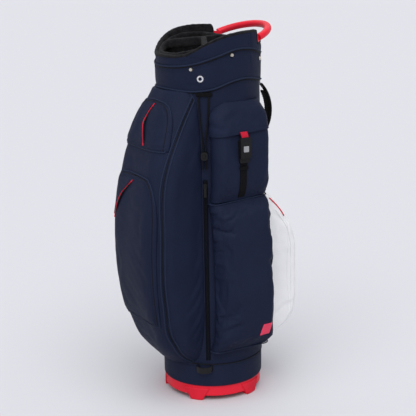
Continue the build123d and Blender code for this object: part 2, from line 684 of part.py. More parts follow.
with BuildPart() as buckle_cover:
    with Locations((BASE_FACE + COVER_GAP, BUCKLE_Y, (COVER_LOW + COVER_HIGH) / 2)):
        Box(
            COVER_FACE - BASE_FACE - COVER_GAP, COVER_WIDE, COVER_HIGH - COVER_LOW,
            align=(Align.MIN, Align.CENTER, Align.CENTER),
        )
    fillet(buckle_cover.edges().filter_by(Axis.X), 3.5)
    with Locations((COVER_FACE + 1, BUCKLE_Y, BUTTON_Z)):
        Box(
            COVER_FACE - BASE_FACE - COVER_GAP - 0.2,
            BUTTON_WIDE + 2 * BUTTON_GAP, BUTTON_TALL + 2 * BUTTON_GAP,
            align=(Align.MAX, Align.CENTER, Align.CENTER), mode=Mode.SUBTRACT,
        )
keep("buckle_cover", buckle_cover.part)

with BuildPart() as buckle_button:
    with Locations((COVER_FACE + BUTTON_PROUD, BUCKLE_Y, BUTTON_Z)):
        Box(BUTTON_THICK, BUTTON_WIDE, BUTTON_TALL, align=(Align.MAX, Align.CENTER, Align.CENTER))
    fillet(buckle_button.edges().filter_by(Axis.X), 1.5)
keep("buckle_button", buckle_button.part)

with BuildPart() as flap_tab:
    with Locations((140, BUCKLE_Y, (COVER_HIGH + TOUCH + TAB_TOP) / 2)):
        Box(18, TAB_WIDE, TAB_TOP - COVER_HIGH - TOUCH, align=(Align.MIN, Align.CENTER, Align.CENTER))
    add(side_form(UPPER_LEVELS, FLAP_OUT + TOUCH), mode=Mode.SUBTRACT)
    with Locations((BASE_FACE + COVER_GAP + TAB_PROUD, BUCKLE_Y, 630)):
        Box(40, 40, 40, align=(Align.MAX, Align.CENTER, Align.CENTER), mode=Mode.INTERSECT)
keep("flap_tab", flap_tab.part)

patch_outline = [
    (PATCH_Y - PATCH_WIDE / 2 - PATCH_SLANT / 2, PATCH_Z - PATCH_TALL / 2),
    (PATCH_Y + PATCH_WIDE / 2 - PATCH_SLANT / 2, PATCH_Z - PATCH_TALL / 2),
    (PATCH_Y + PATCH_WIDE / 2 + PATCH_SLANT / 2, PATCH_Z + PATCH_TALL / 2),
    (PATCH_Y - PATCH_WIDE / 2 + PATCH_SLANT / 2, PATCH_Z + PATCH_TALL / 2),
]
keep("emblem_patch", skin_patch(LOWER_LEVELS, side_prism(patch_outline), 1.0))

# ---------- left side ----------

with BuildPart() as left_garment_pocket:
    garment = side_form(GARMENT_LEVELS, 0)
    garment_space = side_form(GARMENT_LEVELS, -POCKET_WALL) & side_block(132, 700, 400, 0)
    add(mirror(garment - garment_space, about=Plane.YZ, mode=Mode.PRIVATE))
keep("left_garment_pocket", left_garment_pocket.part)

# ---------- back pocket ----------

with BuildPart() as back_space:
    add(back_form(-POCKET_WALL))
    with Locations((0, 150, 297)):
        Box(400, 300, 330, mode=Mode.INTERSECT)

with BuildPart() as back_pocket:
    add(back_form(0))
    add(back_space.part, mode=Mode.SUBTRACT)
keep("back_pocket", back_pocket.part)

with BuildPart() as back_pocket_trim:
    with BuildSketch(Plane.YZ):
        with BuildLine():
            Spline([(120, 459), (146, 436), (166, 408)])
        trace(line_width=3)
    extrude(amount=FAR, both=True)
    add(back_form(1.5), mode=Mode.INTERSECT)
    add(back_form(TOUCH), mode=Mode.SUBTRACT)
    with Locations((0, 150, 430)):
        Box(2 * 64, 300, 200, mode=Mode.SUBTRACT)
keep("back_pocket_trim", back_pocket_trim.part)

# ---------- umbrella holder ----------

keep("umbrella_tab", ring(POCKET_IN, TAB_R, TAB_LOW + TOUCH, TAB_HIGH, TAB_START, TAB_SPAN))

channel_plane = Plane(
    origin=(0, 0, 0),
    x_dir=(cos(radians(CHANNEL)), -sin(radians(CHANNEL)), 0),
    z_dir=(sin(radians(CHANNEL)), cos(radians(CHANNEL)), 0),
)


def cord_points(side):
    """Route of one strand: its distance from the channel's middle, its radius and its height."""
    return [
        channel_plane.from_local_coords(Vector(side * across, -z, radius))
        for across, radius, z in CORD_ROUTE
    ]


def cord_radii(points):
    """Largest tangent arc that each corner's two runs allow."""
    radii = []
    for before, corner, after in zip(points, points[1:], points[2:]):
        turn = (corner - before).get_angle(after - corner)
        shorter = min((corner - before).length, (after - corner).length)
        radii.append(0.45 * shorter / tan(radians(turn / 2)))
    return radii


for name, side in (("umbrella_cord_front", 1), ("umbrella_cord_rear", -1)):
    route = cord_points(side)
    radii = cord_radii(route)
    print(name, "arc radii", [round(radius) for radius in radii])
    with BuildPart() as strand:
        with BuildLine() as strand_path:
            FilletPolyline(*route, radius=radii)
        with BuildSketch(Plane(origin=route[0], z_dir=route[1] - route[0])):
            Circle(CORD_R)
        sweep()
    length = strand_path.wire().length
    print(name, "length", round(length, 1))
    print(name, "volume ratio", round(strand.part.volume / (length * pi * CORD_R**2), 4))
    keep(name, strand.part)

lock_plane = outward(CHANNEL, LOCK_R, LOCK_Z)
with BuildPart() as cord_lock_body:
    with BuildSketch(lock_plane.offset(-LOCK_DEEP / 2)):
        RectangleRounded(LOCK_WIDE, LOCK_TALL, 5)
    extrude(amount=LOCK_DEEP)
    with BuildSketch(
        Plane(origin=lock_plane.origin - (0, 0, LOCK_TALL), x_dir=lock_plane.x_dir, z_dir=(0, 0, 1))
    ):
        RectangleRounded(SLOT_WIDE, SLOT_DEEP, 2.4)
    extrude(amount=2 * LOCK_TALL, mode=Mode.SUBTRACT)
    with BuildSketch(lock_plane.offset(SLOT_DEEP / 2 - 1)):
        Circle(PLUNGER_R + 0.2)
    extrude(amount=LOCK_DEEP, mode=Mode.SUBTRACT)
keep("cord_lock_body", cord_lock_body.part)

with BuildPart() as cord_lock_plunger:
    with BuildSketch(lock_plane.offset(LOCK_DEEP / 2 - 1.2)):
        Circle(PLUNGER_R)
    extrude(amount=PLUNGER_PROUD)
    lock_axis = Axis(lock_plane.origin, lock_plane.z_dir)
    fillet(cord_lock_plunger.edges().filter_by(GeomType.CIRCLE).sort_by(lock_axis)[-1], 1.2)
keep("cord_lock_plunger", cord_lock_plunger.part)

with BuildPart() as umbrella_tip_ring:
    tip_plane = outward(TIP_ANGLE, SKIN_OUT, TIP_LOW)
    with BuildSketch(Plane(origin=tip_plane.origin, x_dir=tip_plane.x_dir, z_dir=(0, 0, 1))):
        Ellipse(TIP_WIDE / 2, TIP_DEEP)
        Ellipse(TIP_WIDE / 2 - TIP_WALL, TIP_DEEP - TIP_WALL, mode=Mode.SUBTRACT)
    extrude(amount=TIP_HIGH - TIP_LOW)
    add(drum(POCKET_IN), mode=Mode.SUBTRACT)
keep("umbrella_tip_ring", umbrella_tip_ring.part)

# ---------- zips in the channels ----------

tape = ring(POCKET_IN, TAPE_OUT, ZIP_LOW, ZIP_HIGH, CHANNEL + ZIP_SPAN / 2, ZIP_SPAN)
with BuildPart() as zip_tapes:
    add(tape)
    add(mirror(tape, about=Plane.YZ, mode=Mode.PRIVATE))
keep("zip_tapes", zip_tapes.part)

slider_plane = outward(CHANNEL, TAPE_OUT + 0.3, SLIDER_Z)
pin_plane = Plane(
    origin=slider_plane.origin + slider_plane.z_dir * PULL_PIN,
    z_dir=slider_plane.x_dir,
)
with BuildPart() as zip_slider:
    with BuildSketch(slider_plane):
        RectangleRounded(SLIDER_WIDE, SLIDER_TALL, 2)
    extrude(amount=2.4)
    with BuildSketch(Plane(origin=slider_plane.origin, x_dir=slider_plane.x_dir, z_dir=(0, 0, 1)).offset(-3)):
        Rectangle(1.6, 2 * (SLIDER_OUT - TAPE_OUT - 0.3))
    extrude(amount=6)
    with Locations(slider_plane):
        Box(60, 60, 20, align=(Align.CENTER, Align.CENTER, Align.MIN), mode=Mode.INTERSECT)
    with BuildSketch(pin_plane):
        Circle(0.75)
    extrude(amount=10, both=True, mode=Mode.SUBTRACT)
keep("right_zip_slider", zip_slider.part)

with BuildPart() as zip_pull:
    with BuildSketch(slider_plane.offset(PULL_PIN - PULL_THICK / 2)):
        with Locations((0, -PULL_LONG / 2 + 0.95)):
            RectangleRounded(PULL_WIDE, PULL_LONG, 1.5)
        Rectangle(2.2, 8, mode=Mode.SUBTRACT)
    extrude(amount=PULL_THICK)
    with BuildSketch(pin_plane):
        Circle(0.7)
    extrude(amount=PULL_WIDE / 2 - 0.2, both=True)
keep("right_zip_pull", zip_pull.part)

keep("left_zip_slider", mirror(zip_slider.part, about=Plane.YZ))
keep("left_zip_pull", mirror(zip_pull.part, about=Plane.YZ))

# ---------- carry handle ----------

def grip_arc(outer, thickness, wide, half):
    """Arc-shaped bar that stands off the spine."""
    with BuildPart() as form:
        with BuildSketch(Plane.YZ) as arc:
            with Locations((GRIP_Y, GRIP_Z)):
                Circle(outer)
                Circle(outer - thickness, mode=Mode.SUBTRACT)
            reach = outer * 1.5
            Polygon(
                (GRIP_Y, GRIP_Z), (GRIP_Y + reach * cos(radians(half)), GRIP_Z + reach * sin(radians(half))),
                (GRIP_Y + reach * 1.5, GRIP_Z),
                (GRIP_Y + reach * cos(radians(half)), GRIP_Z - reach * sin(radians(half))),
                align=None, mode=Mode.INTERSECT,
            )
        extrude(amount=wide / 2, both=True)
    return form.part


keep("carry_handle_webbing", grip_arc(GRIP_OUT, WEB_THICK, WEB_WIDE, WEB_HALF))
keep("carry_handle_pad", grip_arc(GRIP_OUT - WEB_THICK - TOUCH, PAD_THICK, PAD_WIDE, PAD_HALF))

with BuildPart() as carry_handle_rings:
    for height in RING_HEIGHTS:
        with Locations(Plane(origin=(0, RING_Y, height), z_dir=(1, 0, 0))):
            Torus(RING_R, RING_WIRE)
keep("carry_handle_rings", carry_handle_rings.part)

with BuildPart() as carry_handle_tabs:
    for height in RING_HEIGHTS:
        with BuildSketch(Plane.XY.offset(height - EYE_TALL / 2)):
            with Locations((0, SKIN_OUT - 2)):
                Rectangle(EYE_WIDE, EYE_DEEP + 2, align=(Align.CENTER, Align.MIN))
            with Locations((0, POCKET_IN + EYE_WALL)):
                Rectangle(
                    EYE_WIDE - 2 * EYE_WALL, EYE_DEEP - 2 * EYE_WALL - 0.3,
                    align=(Align.CENTER, Align.MIN), mode=Mode.SUBTRACT,
                )
        extrude(amount=EYE_TALL)
    add(drum(POCKET_IN), mode=Mode.SUBTRACT)
keep("carry_handle_tabs", carry_handle_tabs.part)

# ---------- strap ring ----------

with BuildPart() as strap_ring:
    with BuildSketch(Plane.XZ.offset(-STRAP_RING_Y)) as ring_path:
        with Locations((0, STRAP_RING_Z)):
            RectangleRounded(STRAP_RING_WIDE, STRAP_RING_TALL, 6)
    with BuildLine() as ring_line:
        add(ring_path.sketch.faces()[0].outer_wire().translate((0, 0, -STRAP_RING_TALL / 2)))
    with BuildSketch(Plane(origin=ring_line.line @ 0, z_dir=ring_line.line % 0)):
        Circle(STRAP_RING_WIRE)
    sweep()
keep("strap_ring", strap_ring.part)

bar_hole = STRAP_RING_WIRE + STRAP_TAB_GAP
with BuildPart() as strap_ring_tab:
    with BuildSketch(Plane.YZ):
        with Locations((STRAP_RING_Y, STRAP_RING_Z)):
            Circle(bar_hole + STRAP_TAB_WALL)
        with Locations((BAND_R + 0.2, STRAP_RING_Z + 1)):
            Rectangle(STRAP_TAB_WALL, 10, align=(Align.MIN, Align.MIN))
        with Locations((STRAP_RING_Y, STRAP_RING_Z)):
            Circle(bar_hole, mode=Mode.SUBTRACT)
    extrude(amount=STRAP_TAB_WIDE / 2, both=True)
    add(drum(BAND_R + 0.15), mode=Mode.SUBTRACT)
keep("strap_ring_tab", strap_ring_tab.part)

# ---------- files ----------

os.makedirs("parts", exist_ok=True)
for name, part in parts.items():
    export_step(part, f"parts/{name}.step")
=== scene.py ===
"""Looks of a golf staff bag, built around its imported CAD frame.

Lengths are in millimetres until a mesh is made, except where a comment says metres.
"""
import math

import bpy
import numpy as np
from mathutils import Matrix, Vector
from mathutils.bvhtree import BVHTree


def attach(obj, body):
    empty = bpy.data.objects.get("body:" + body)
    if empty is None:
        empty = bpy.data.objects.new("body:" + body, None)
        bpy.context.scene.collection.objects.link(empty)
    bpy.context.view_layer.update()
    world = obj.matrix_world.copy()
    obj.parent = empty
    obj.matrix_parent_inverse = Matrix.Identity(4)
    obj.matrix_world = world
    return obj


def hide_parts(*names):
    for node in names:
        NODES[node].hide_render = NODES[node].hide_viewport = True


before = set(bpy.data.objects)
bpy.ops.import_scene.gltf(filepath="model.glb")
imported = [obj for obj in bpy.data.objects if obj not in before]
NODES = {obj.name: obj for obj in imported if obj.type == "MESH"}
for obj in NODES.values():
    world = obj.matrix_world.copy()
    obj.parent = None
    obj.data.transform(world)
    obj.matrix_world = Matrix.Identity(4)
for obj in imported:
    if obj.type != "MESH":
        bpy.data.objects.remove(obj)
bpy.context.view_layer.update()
MM = 0.001
UP = np.array([0.0, 0.0, 1.0])

# ---------- sizes shared with the CAD source, in millimetres ----------

BARREL = 118.0
POCKET_IN = 118.3
BAND_LOW, BAND_HIGH = 37.0, 91.0
BAND_HEM, BAND_SEWN = 44.0, 86.0
RIM = [(-130, 808), (-100, 810), (-66, 832), (-30, 849), (10, 857), (72, 858)]
UPPER_SEAM = [(-130, 781), (-98, 787), (-44, 806), (0, 820), (45, 819), (90, 807), (130, 795)]
LOWER_SEAM = [(-130, 735), (-98, 730.5), (-55, 735), (-8, 751), (20, 755), (79, 747), (130, 736)]
REAR_EDGE_Y, REAR_TOP = 68.0, 828.0
REAR_SEAMS = (69.0, 291.0)
BAND_R, COLLAR_R, PIPING_R = 121.0, 120.4, 120.6

# front pod: height, depth, half-width in front, half-width at the barrel, corner radius
FRONT_LEVELS = [
    (92.0, 130.0, 88.0, 66.0, 60.0), (130.0, 163.0, 103.0, 78.0, 55.0), (190.0, 187.0, 112.0, 85.0, 50.0),
    (270.0, 205.0, 115.0, 85.0, 50.0), (460.0, 207.0, 115.0, 85.0, 50.0), (560.0, 192.0, 114.0, 85.0, 50.0),
    (640.0, 168.0, 108.0, 83.0, 55.0), (728.0, 127.0, 90.0, 78.0, 62.0),
]
POD_SEAM = [
    (88, -84), (112, -122), (160, -160), (260, -184), (420, -187), (550, -176), (640, -138), (732, -80),
]
# outline of each front pocket, as height and half-width, and the red edge of its slot, as x and height
UPPER_POUCH = [
    (604, 92), (615, 91), (636, 87), (656, 82), (677, 73), (690, 64), (700, 51), (705, 36), (707.5, 14),
]
LOWER_POUCH = [
    (202, 81), (228, 85), (290, 91), (379, 94), (424, 94), (469, 92), (502, 87), (524, 78), (537, 66),
    (544, 48), (546, 20),
]
UPPER_TRIM = [(10, 700), (2, 686), (-1, 670), (6, 648), (15, 628), (20, 612)]
LOWER_TRIM = [(4, 532), (-13, 519), (-33, 502), (-49, 480), (-61, 457), (-77, 432)]

# side pockets: height, reach, front corner Y, rear corner Y, corner radius
UPPER_LEVELS = [
    (489.0, 130.0, -80.0, 79.0, 18.0), (510.0, 139.5, -80.0, 83.0, 22.0), (560.0, 145.0, -79.0, 86.0, 25.0),
    (610.0, 143.5, -78.0, 86.0, 25.0), (650.0, 138.0, -78.0, 84.0, 25.0), (676.0, 130.5, -76.0, 80.0, 24.0),
    (690.0, 125.0, -73.0, 74.0, 30.0), (703.0, 116.5, -68.0, 66.0, 32.0),
]
LOWER_LEVELS = [
    (128.0, 128.0, -84.0, 87.0, 18.0), (146.0, 144.0, -78.0, 94.0, 26.0), (182.0, 150.0, -72.0, 98.0, 30.0),
    (250.0, 152.0, -71.0, 100.0, 30.0), (350.0, 151.0, -75.0, 100.0, 30.0), (430.0, 147.0, -82.0, 96.0, 28.0),
    (470.0, 138.0, -84.0, 89.0, 24.0), (486.0, 128.0, -84.0, 82.0, 18.0),
]
GARMENT_LEVELS = [
    (128.0, 128.0, -84.0, 87.0, 18.0), (150.0, 145.0, -78.0, 94.0, 26.0), (190.0, 151.0, -72.0, 98.0, 30.0),
    (270.0, 152.5, -72.0, 100.0, 30.0), (350.0, 152.5, -73.0, 100.0, 30.0), (430.0, 152.0, -74.0, 99.0, 30.0),
    (510.0, 150.0, -76.0, 97.0, 29.0), (590.0, 146.0, -78.0, 92.0, 27.0), (650.0, 138.0, -79.0, 86.0, 25.0),
    (705.0, 124.0, -78.0, 78.0, 18.0),
]
SIDE_BACK = (60.0, -36.0, 73.0)
FLAP_HEM = [(-130, 626), (-82, 630), (0, 637), (72, 643), (130, 648)]
FLAP_OUT = 4.0
FLAP_TOP = 702.5
DROOP_EDGE = 488.0

# back pocket: height, how far back, half-width, corner radius
BACK_LEVELS = [
    (128.0, 152.0, 70.0, 22.0), (144.0, 178.0, 74.0, 28.0), (166.0, 197.0, 75.0, 30.0),
    (205.0, 204.0, 75.0, 30.0), (255.0, 205.5, 75.0, 30.0), (305.0, 205.5, 75.0, 30.0), (348.0, 202.5, 75.0, 30.0),
    (388.0, 190.0, 75.0, 30.0), (425.0, 165.0, 74.0, 28.0), (466.0, 131.0, 70.0, 20.0),
]
BACK_TRIM = [(124, 459), (144, 438), (160, 413)]

CHANNEL = 125.5
ZIP_LOW, ZIP_HIGH = 103.0, 532.0
CORD_R = 1.8
# one strand of the umbrella cord: distance from the channel's middle, radius and height, in metres
CORD_ROUTE = [
    (0.0113, 0.1203, 0.719), (0.0100, 0.1222, 0.685), (0.0068, 0.1240, 0.651), (0.0027, 0.1248, 0.617),
    (0.0024, 0.1250, 0.584), (0.0038, 0.1253, 0.557),
]
GRIP_Y, GRIP_Z, GRIP_OUT = 80.7, 658.0, 90.0
LOOP_Y = 123.6
STRAP_Y = 2.0


# ---------- camera ----------

def make_camera():
    """Camera at the viewing angle: turned 59.5 degrees round the bag and 14 degrees down."""
    turn, pitch, roll = math.radians(59.464), math.radians(14.082), math.radians(-0.982)
    distance, height = 2.54615, 1.07692
    ahead = Vector((-math.sin(turn) * math.cos(pitch), math.cos(turn) * math.cos(pitch), -math.sin(pitch)))
    right = Vector((math.cos(turn), math.sin(turn), 0))
    up = right.cross(ahead)
    across = math.cos(roll) * right + math.sin(roll) * up
    above = -math.sin(roll) * right + math.cos(roll) * up
    data = bpy.data.cameras.new("camera")
    data.sensor_width = 36
    data.lens = 96.4
    data.shift_x = -0.0055
    camera = bpy.data.objects.new("camera", data)
    bpy.context.scene.collection.objects.link(camera)
    place = Matrix.Identity(4)
    place.col[0][:3] = across
    place.col[1][:3] = above
    place.col[2][:3] = -ahead
    place.col[3][:3] = (math.sin(turn) * distance, -math.cos(turn) * distance, height)
    camera.matrix_world = place
    bpy.context.scene.camera = camera


make_camera()


# ---------- materials ----------

LOOK = "look_"


class Shader:
    """Small helper that builds one principled material's nodes."""

    def __init__(self, name, rough, metal=0.0, **sockets):
        self.material = bpy.data.materials.new(LOOK + name)
        self.material.use_nodes = True
        self.tree = self.material.node_tree
        self.main = self.tree.nodes["Principled BSDF"]
        self.main.inputs["Roughness"].default_value = rough
        self.main.inputs["Metallic"].default_value = metal
        for socket, value in sockets.items():
            self.main.inputs[socket.replace("_", " ")].default_value = value

    def node(self, kind, **values):
        made = self.tree.nodes.new(kind)
        for key, value in values.items():
            if hasattr(made, key):
                setattr(made, key, value)
            else:
                made.inputs[key.replace("_", " ")].default_value = value
        return made

    def link(self, start, end):
        self.tree.links.new(start, end)

    def math(self, operation, first, second=None):
        made = self.node("ShaderNodeMath", operation=operation)
        for socket, value in zip(made.inputs, (first, second)):
            if value is None:
                continue
            if isinstance(value, (int, float)):
                socket.default_value = value
            else:
                self.link(value, socket)
        return made.outputs[0]

    def place(self):
        return self.node("ShaderNodeTexCoord").outputs["Object"]

    def noise(self, scale, detail=3.0, where=None):
        made = self.node("ShaderNodeTexNoise")
        made.inputs["Scale"].default_value = scale
        made.inputs["Detail"].default_value = detail
        self.link(where or self.place(), made.inputs["Vector"])
        return made.outputs["Fac"]

    def ramp(self, factor, dark, light, low=0.3, high=0.7):
        made = self.node("ShaderNodeValToRGB")
        made.color_ramp.elements[0].position = low
        made.color_ramp.elements[1].position = high
        made.color_ramp.elements[0].color = (*dark, 1)
        made.color_ramp.elements[1].color = (*light, 1)
        self.link(factor, made.inputs["Fac"])
        return made.outputs["Color"]

    def color(self, output):
        self.link(output, self.main.inputs["Base Color"])

    def rough(self, factor, low, high):
        made = self.node("ShaderNodeMapRange")
        made.inputs["To Min"].default_value = low
        made.inputs["To Max"].default_value = high
        self.link(factor, made.inputs["Value"])
        self.link(made.outputs["Result"], self.main.inputs["Roughness"])

    def bump(self, height, distance, strength=1.0):
        made = self.node("ShaderNodeBump")
        made.inputs["Strength"].default_value = strength
        made.inputs["Distance"].default_value = distance
        self.link(height, made.inputs["Height"])
        before = self.main.inputs["Normal"]
        if before.is_linked:
            self.link(before.links[0].from_socket, made.inputs["Normal"])
        self.link(made.outputs["Normal"], before)

    def threads(self, pitch):
        """Two sets of threads from the cloth's own coordinates, which each mesh carries as an attribute."""
        cloth = self.node("ShaderNodeAttribute", attribute_name="cloth")
        parts = self.node("ShaderNodeSeparateXYZ")
        self.link(cloth.outputs["Vector"], parts.inputs[0])
        turn = 2 * math.pi / (pitch * MM)
        waves = [self.math("SINE", self.math("MULTIPLY", parts.outputs[i], turn)) for i in (0, 1)]
        return waves, cloth.outputs["Vector"]


def woven(name, dark, light, pitch, rough=0.60, depth=0.00012, sheen=0.0):
    """Plain weave: over and under threads, with slow colour change and the raised threads a little lighter."""
    shader = Shader(name, rough, Sheen_Weight=sheen, Specular_IOR_Level=0.09)
    (warp, weft), _ = shader.threads(pitch)
    weave = shader.math("MULTIPLY_ADD", shader.math("MULTIPLY", warp, weft), 0.5)
    weave.node.inputs[2].default_value = 0.5
    slow = shader.noise(9.0, 4.0)
    slub = shader.noise(260.0, 2.0)
    mixed = shader.math("ADD", shader.math("MULTIPLY", weave, 0.35), shader.math("MULTIPLY", slow, 0.45))
    mixed = shader.math("ADD", mixed, shader.math("MULTIPLY", slub, 0.2))
    shader.color(shader.ramp(mixed, dark, light, 0.2, 0.8))
    shader.rough(slow, rough - 0.06, rough + 0.08)
    shader.bump(weave, depth)
    shader.bump(slub, depth * 1.5, 0.5)
    return shader.material


def ribbed(name, dark, light, pitch):
    """Webbing: ribs across the strap with a herringbone of lengthwise threads."""
    shader = Shader(name, 0.65, Specular_IOR_Level=0.06)
    (across, _), where = shader.threads(pitch)
    parts = shader.node("ShaderNodeSeparateXYZ")
    shader.link(where, parts.inputs[0])
    lean = shader.math("PINGPONG", parts.outputs[0], pitch * MM * 1.5)
    slanted = shader.math("ADD", parts.outputs[1], lean)
    ribs = shader.math("SINE", shader.math("MULTIPLY", slanted, 2 * math.pi / (pitch * MM)))
    height = shader.math("ADD", shader.math("MULTIPLY", ribs, 0.35), shader.math("MULTIPLY", across, 0.15))
    shader.color(shader.ramp(height, dark, light, 0.0, 0.6))
    shader.bump(height, 0.00025)
    return shader.material


def fleece(name, dark, light):
    """Short black pile that catches light at its edges."""
    shader = Shader(name, 0.95, Sheen_Weight=0.06, Sheen_Roughness=0.5, Specular_IOR_Level=0.05)
    tuft = shader.noise(420.0, 3.0)
    clump = shader.noise(70.0, 3.0)
    mixed = shader.math("ADD", shader.math("MULTIPLY", tuft, 0.6), shader.math("MULTIPLY", clump, 0.4))
    shader.color(shader.ramp(mixed, dark, light, 0.35, 0.65))
    shader.bump(tuft, 0.0009)
    shader.bump(clump, 0.0015, 0.6)
    return shader.material


def moulded(name, dark, light, rough, grain=900.0, depth=0.00005, shine=0.35):
    """Moulded plastic with a fine grain, slow shade change and scuffed patches."""
    shader = Shader(name, rough, Specular_IOR_Level=shine)
    slow = shader.noise(14.0, 3.0)
    fine = shader.noise(grain, 2.0)
    shader.color(shader.ramp(slow, dark, light))
    shader.rough(shader.noise(35.0, 4.0), rough - 0.06, rough + 0.1)
    shader.bump(fine, depth)
    return shader.material


def plated(name, tint, rough):
    """Plated metal with faint polishing marks."""
    shader = Shader(name, rough, metal=1.0)
    marks = shader.noise(300.0, 3.0)
    shader.color(shader.ramp(marks, tuple(0.85 * x for x in tint), tint))
    shader.rough(marks, rough - 0.05, rough + 0.12)
    shader.bump(shader.noise(1200.0, 1.0), 0.00001)
    return shader.material


NAVY = woven("navy_weave", (0.0062, 0.0094, 0.0262), (0.0140, 0.0198, 0.0475), 0.9)
# The beads' navy is lighter than the cloth's: painted highlight on the seam beads.
NAVY_BEAD_PAINTED_HIGHLIGHT = woven("navy_bead_painted_highlight", (0.010, 0.0155, 0.037), (0.021, 0.030, 0.062), 0.7)
WHITE = woven("white_weave", (0.84, 0.84, 0.86), (0.94, 0.94, 0.95), 0.9, rough=0.55, sheen=0.02)
RED_CLOTH = woven("red_cord", (0.55, 0.008, 0.028), (0.80, 0.018, 0.045), 0.7, rough=0.5)
RED_WEB = ribbed("red_webbing", (0.45, 0.01, 0.03), (0.75, 0.03, 0.06), 1.2)
WEB = ribbed("black_webbing", (0.0035, 0.0035, 0.0045), (0.014, 0.014, 0.016), 1.4)
ZIP_WEB = ribbed("navy_black_tape", (0.0028, 0.0034, 0.006), (0.0075, 0.009, 0.015), 1.2)
FLEECE = fleece("black_fleece", (0.004, 0.004, 0.005), (0.020, 0.020, 0.022))
LINING = woven("black_lining", (0.004, 0.004, 0.005), (0.014, 0.014, 0.016), 0.8)
BRAID = woven("black_braid", (0.005, 0.0045, 0.0045), (0.017, 0.016, 0.015), 1.1, depth=0.0002)
THREAD = woven("navy_thread", (0.010, 0.015, 0.034), (0.020, 0.028, 0.058), 0.3)
PALE_THREAD = woven("white_thread", (0.7, 0.7, 0.72), (0.85, 0.85, 0.87), 0.3)
RED_SHINY = moulded("red_moulding", (0.66, 0.010, 0.028), (0.78, 0.014, 0.036), 0.42, shine=0.22)
RED_RUBBER = moulded(
    "red_rubber", (0.62, 0.010, 0.028), (0.74, 0.014, 0.036), 0.5, grain=600.0, depth=0.0001, shine=0.2)
RED_FILM = moulded("red_film", (0.60, 0.025, 0.075), (0.72, 0.04, 0.10), 0.38)
BLACK = moulded("black_acetal", (0.005, 0.005, 0.006), (0.012, 0.012, 0.013), 0.42, shine=0.16)
GREY = moulded("grey_acetal", (0.26, 0.265, 0.28), (0.34, 0.345, 0.36), 0.3)
SHELL = moulded("shell_sheet", (0.03, 0.03, 0.033), (0.05, 0.05, 0.055), 0.5)
FOAM = moulded("base_foam", (0.015, 0.015, 0.015), (0.03, 0.03, 0.03), 0.9, grain=500.0, depth=0.0004)
STEEL = plated("plated_steel", (0.80, 0.80, 0.82), 0.22)
GUNMETAL = plated("aged_steel", (0.62, 0.58, 0.50), 0.28)


# ---------- curves and sections ----------

def smooth_curve(table, x):
    """Values at x on a smooth curve through the rows of a table, whose first column rises."""
    rows = np.array(table, float)
    at, values = rows[:, 0], rows[:, 1:]
    slopes = np.gradient(values, at, axis=0)
    x = np.clip(np.atleast_1d(np.asarray(x, float)), at[0], at[-1])
    i = np.clip(np.searchsorted(at, x) - 1, 0, len(at) - 2)
    width = at[i + 1] - at[i]
    t = ((x - at[i]) / width)[:, None]
    width = width[:, None]
    start, end = values[i], values[i + 1]
    return (
        start * (2 * t**3 - 3 * t**2 + 1) + end * (3 * t**2 - 2 * t**3)
        + slopes[i] * width * (t**3 - 2 * t**2 + t) + slopes[i + 1] * width * (t**3 - t**2)
    )


def edge_height(edge, y):
    """Height of a cuff edge where the barrel's wall is at y."""
    return smooth_curve(edge, y)[:, 0]


def unit(vectors):
    vectors = np.asarray(vectors, float)
    return vectors / np.maximum(np.linalg.norm(vectors, axis=-1, keepdims=True), 1e-9)


def rounded(points, radius, steps=14):
    """Line through the points, with each inner corner rounded."""
    points = [np.array(p, float) for p in points]
    line = [points[0]]
    for before, corner, after in zip(points, points[1:], points[2:]):
        to_before, to_after = unit(before - corner), unit(after - corner)
        half = math.acos(np.clip(to_before @ to_after, -1, 1)) / 2
        centre = corner + unit(to_before + to_after) * radius / math.sin(half)
        start = corner + to_before * radius / math.tan(half) - centre
        end = corner + to_after * radius / math.tan(half) - centre
        for share in np.linspace(0, 1, steps):
            line.append(centre + unit(start * (1 - share) + end * share) * radius)
    line.append(points[-1])
    return np.array(line)


def distance_along(path):
    """How far along a path each of its points is."""
    return np.concatenate([[0], np.cumsum(np.linalg.norm(np.diff(path, axis=0), axis=1))])


def spread(line, count):
    """The line again, as evenly spaced points."""
    line = np.asarray(line, float)
    along = distance_along(line)
    wanted = np.linspace(0, along[-1], count)
    return np.stack([np.interp(wanted, along, line[:, k]) for k in range(line.shape[1])], axis=1)


def outside(line, radius=POCKET_IN):
    """The stretch of a section that stands outside the barrel."""
    line = spread(line, 400)
    distance = np.linalg.norm(line, axis=1)
    out = np.nonzero(distance > radius)[0]
    if len(out) < 4:
        middle = line[len(line) // 2]
        return np.array([unit(middle) * radius] * 4)
    first, last = out[0], out[-1]

    def crossing(near, far):
        """The one point between two neighbours that is on the barrel, or none past the line's ends."""
        if not 0 <= near < len(line):
            return line[:0]
        share = (radius - distance[near]) / (distance[far] - distance[near])
        return (line[near] + (line[far] - line[near]) * share)[None]

    return np.concatenate([crossing(first - 1, first), line[first:last + 1], crossing(last + 1, last)])


def front_section(z, grow=0.0):
    depth, front, back, corner = smooth_curve(FRONT_LEVELS, z)[0]
    outline = [(-back, -40), (-front - grow, -depth - grow), (front + grow, -depth - grow), (back, -40)]
    return rounded(outline, corner + grow)


def side_section(levels, z, grow=0.0):
    reach, front_y, rear_y, corner = smooth_curve(levels, z)[0]
    x, y_front, y_rear = SIDE_BACK
    outline = [
        (x, y_front - grow), (reach + grow, front_y - grow), (reach + grow, rear_y + grow), (x, y_rear + grow),
    ]
    return rounded(outline, corner + grow)


def back_section(z):
    reach, half, corner = smooth_curve(BACK_LEVELS, z)[0]
    return rounded([(half, 80), (half, reach), (-half, reach), (-half, 80)], corner)


def level(line, count, z):
    """Even points along a section at a height."""
    return np.column_stack([spread(line, count), np.full(count, z)])


# ---------- meshes ----------

def finish_piece(piece, body, material, replaces=()):
    """Puts a finished mesh or curve on its body, with its material."""
    bpy.context.scene.collection.objects.link(piece)
    piece.data.materials.append(material)
    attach(piece, body)
    if replaces:
        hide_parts(*replaces)
    return piece


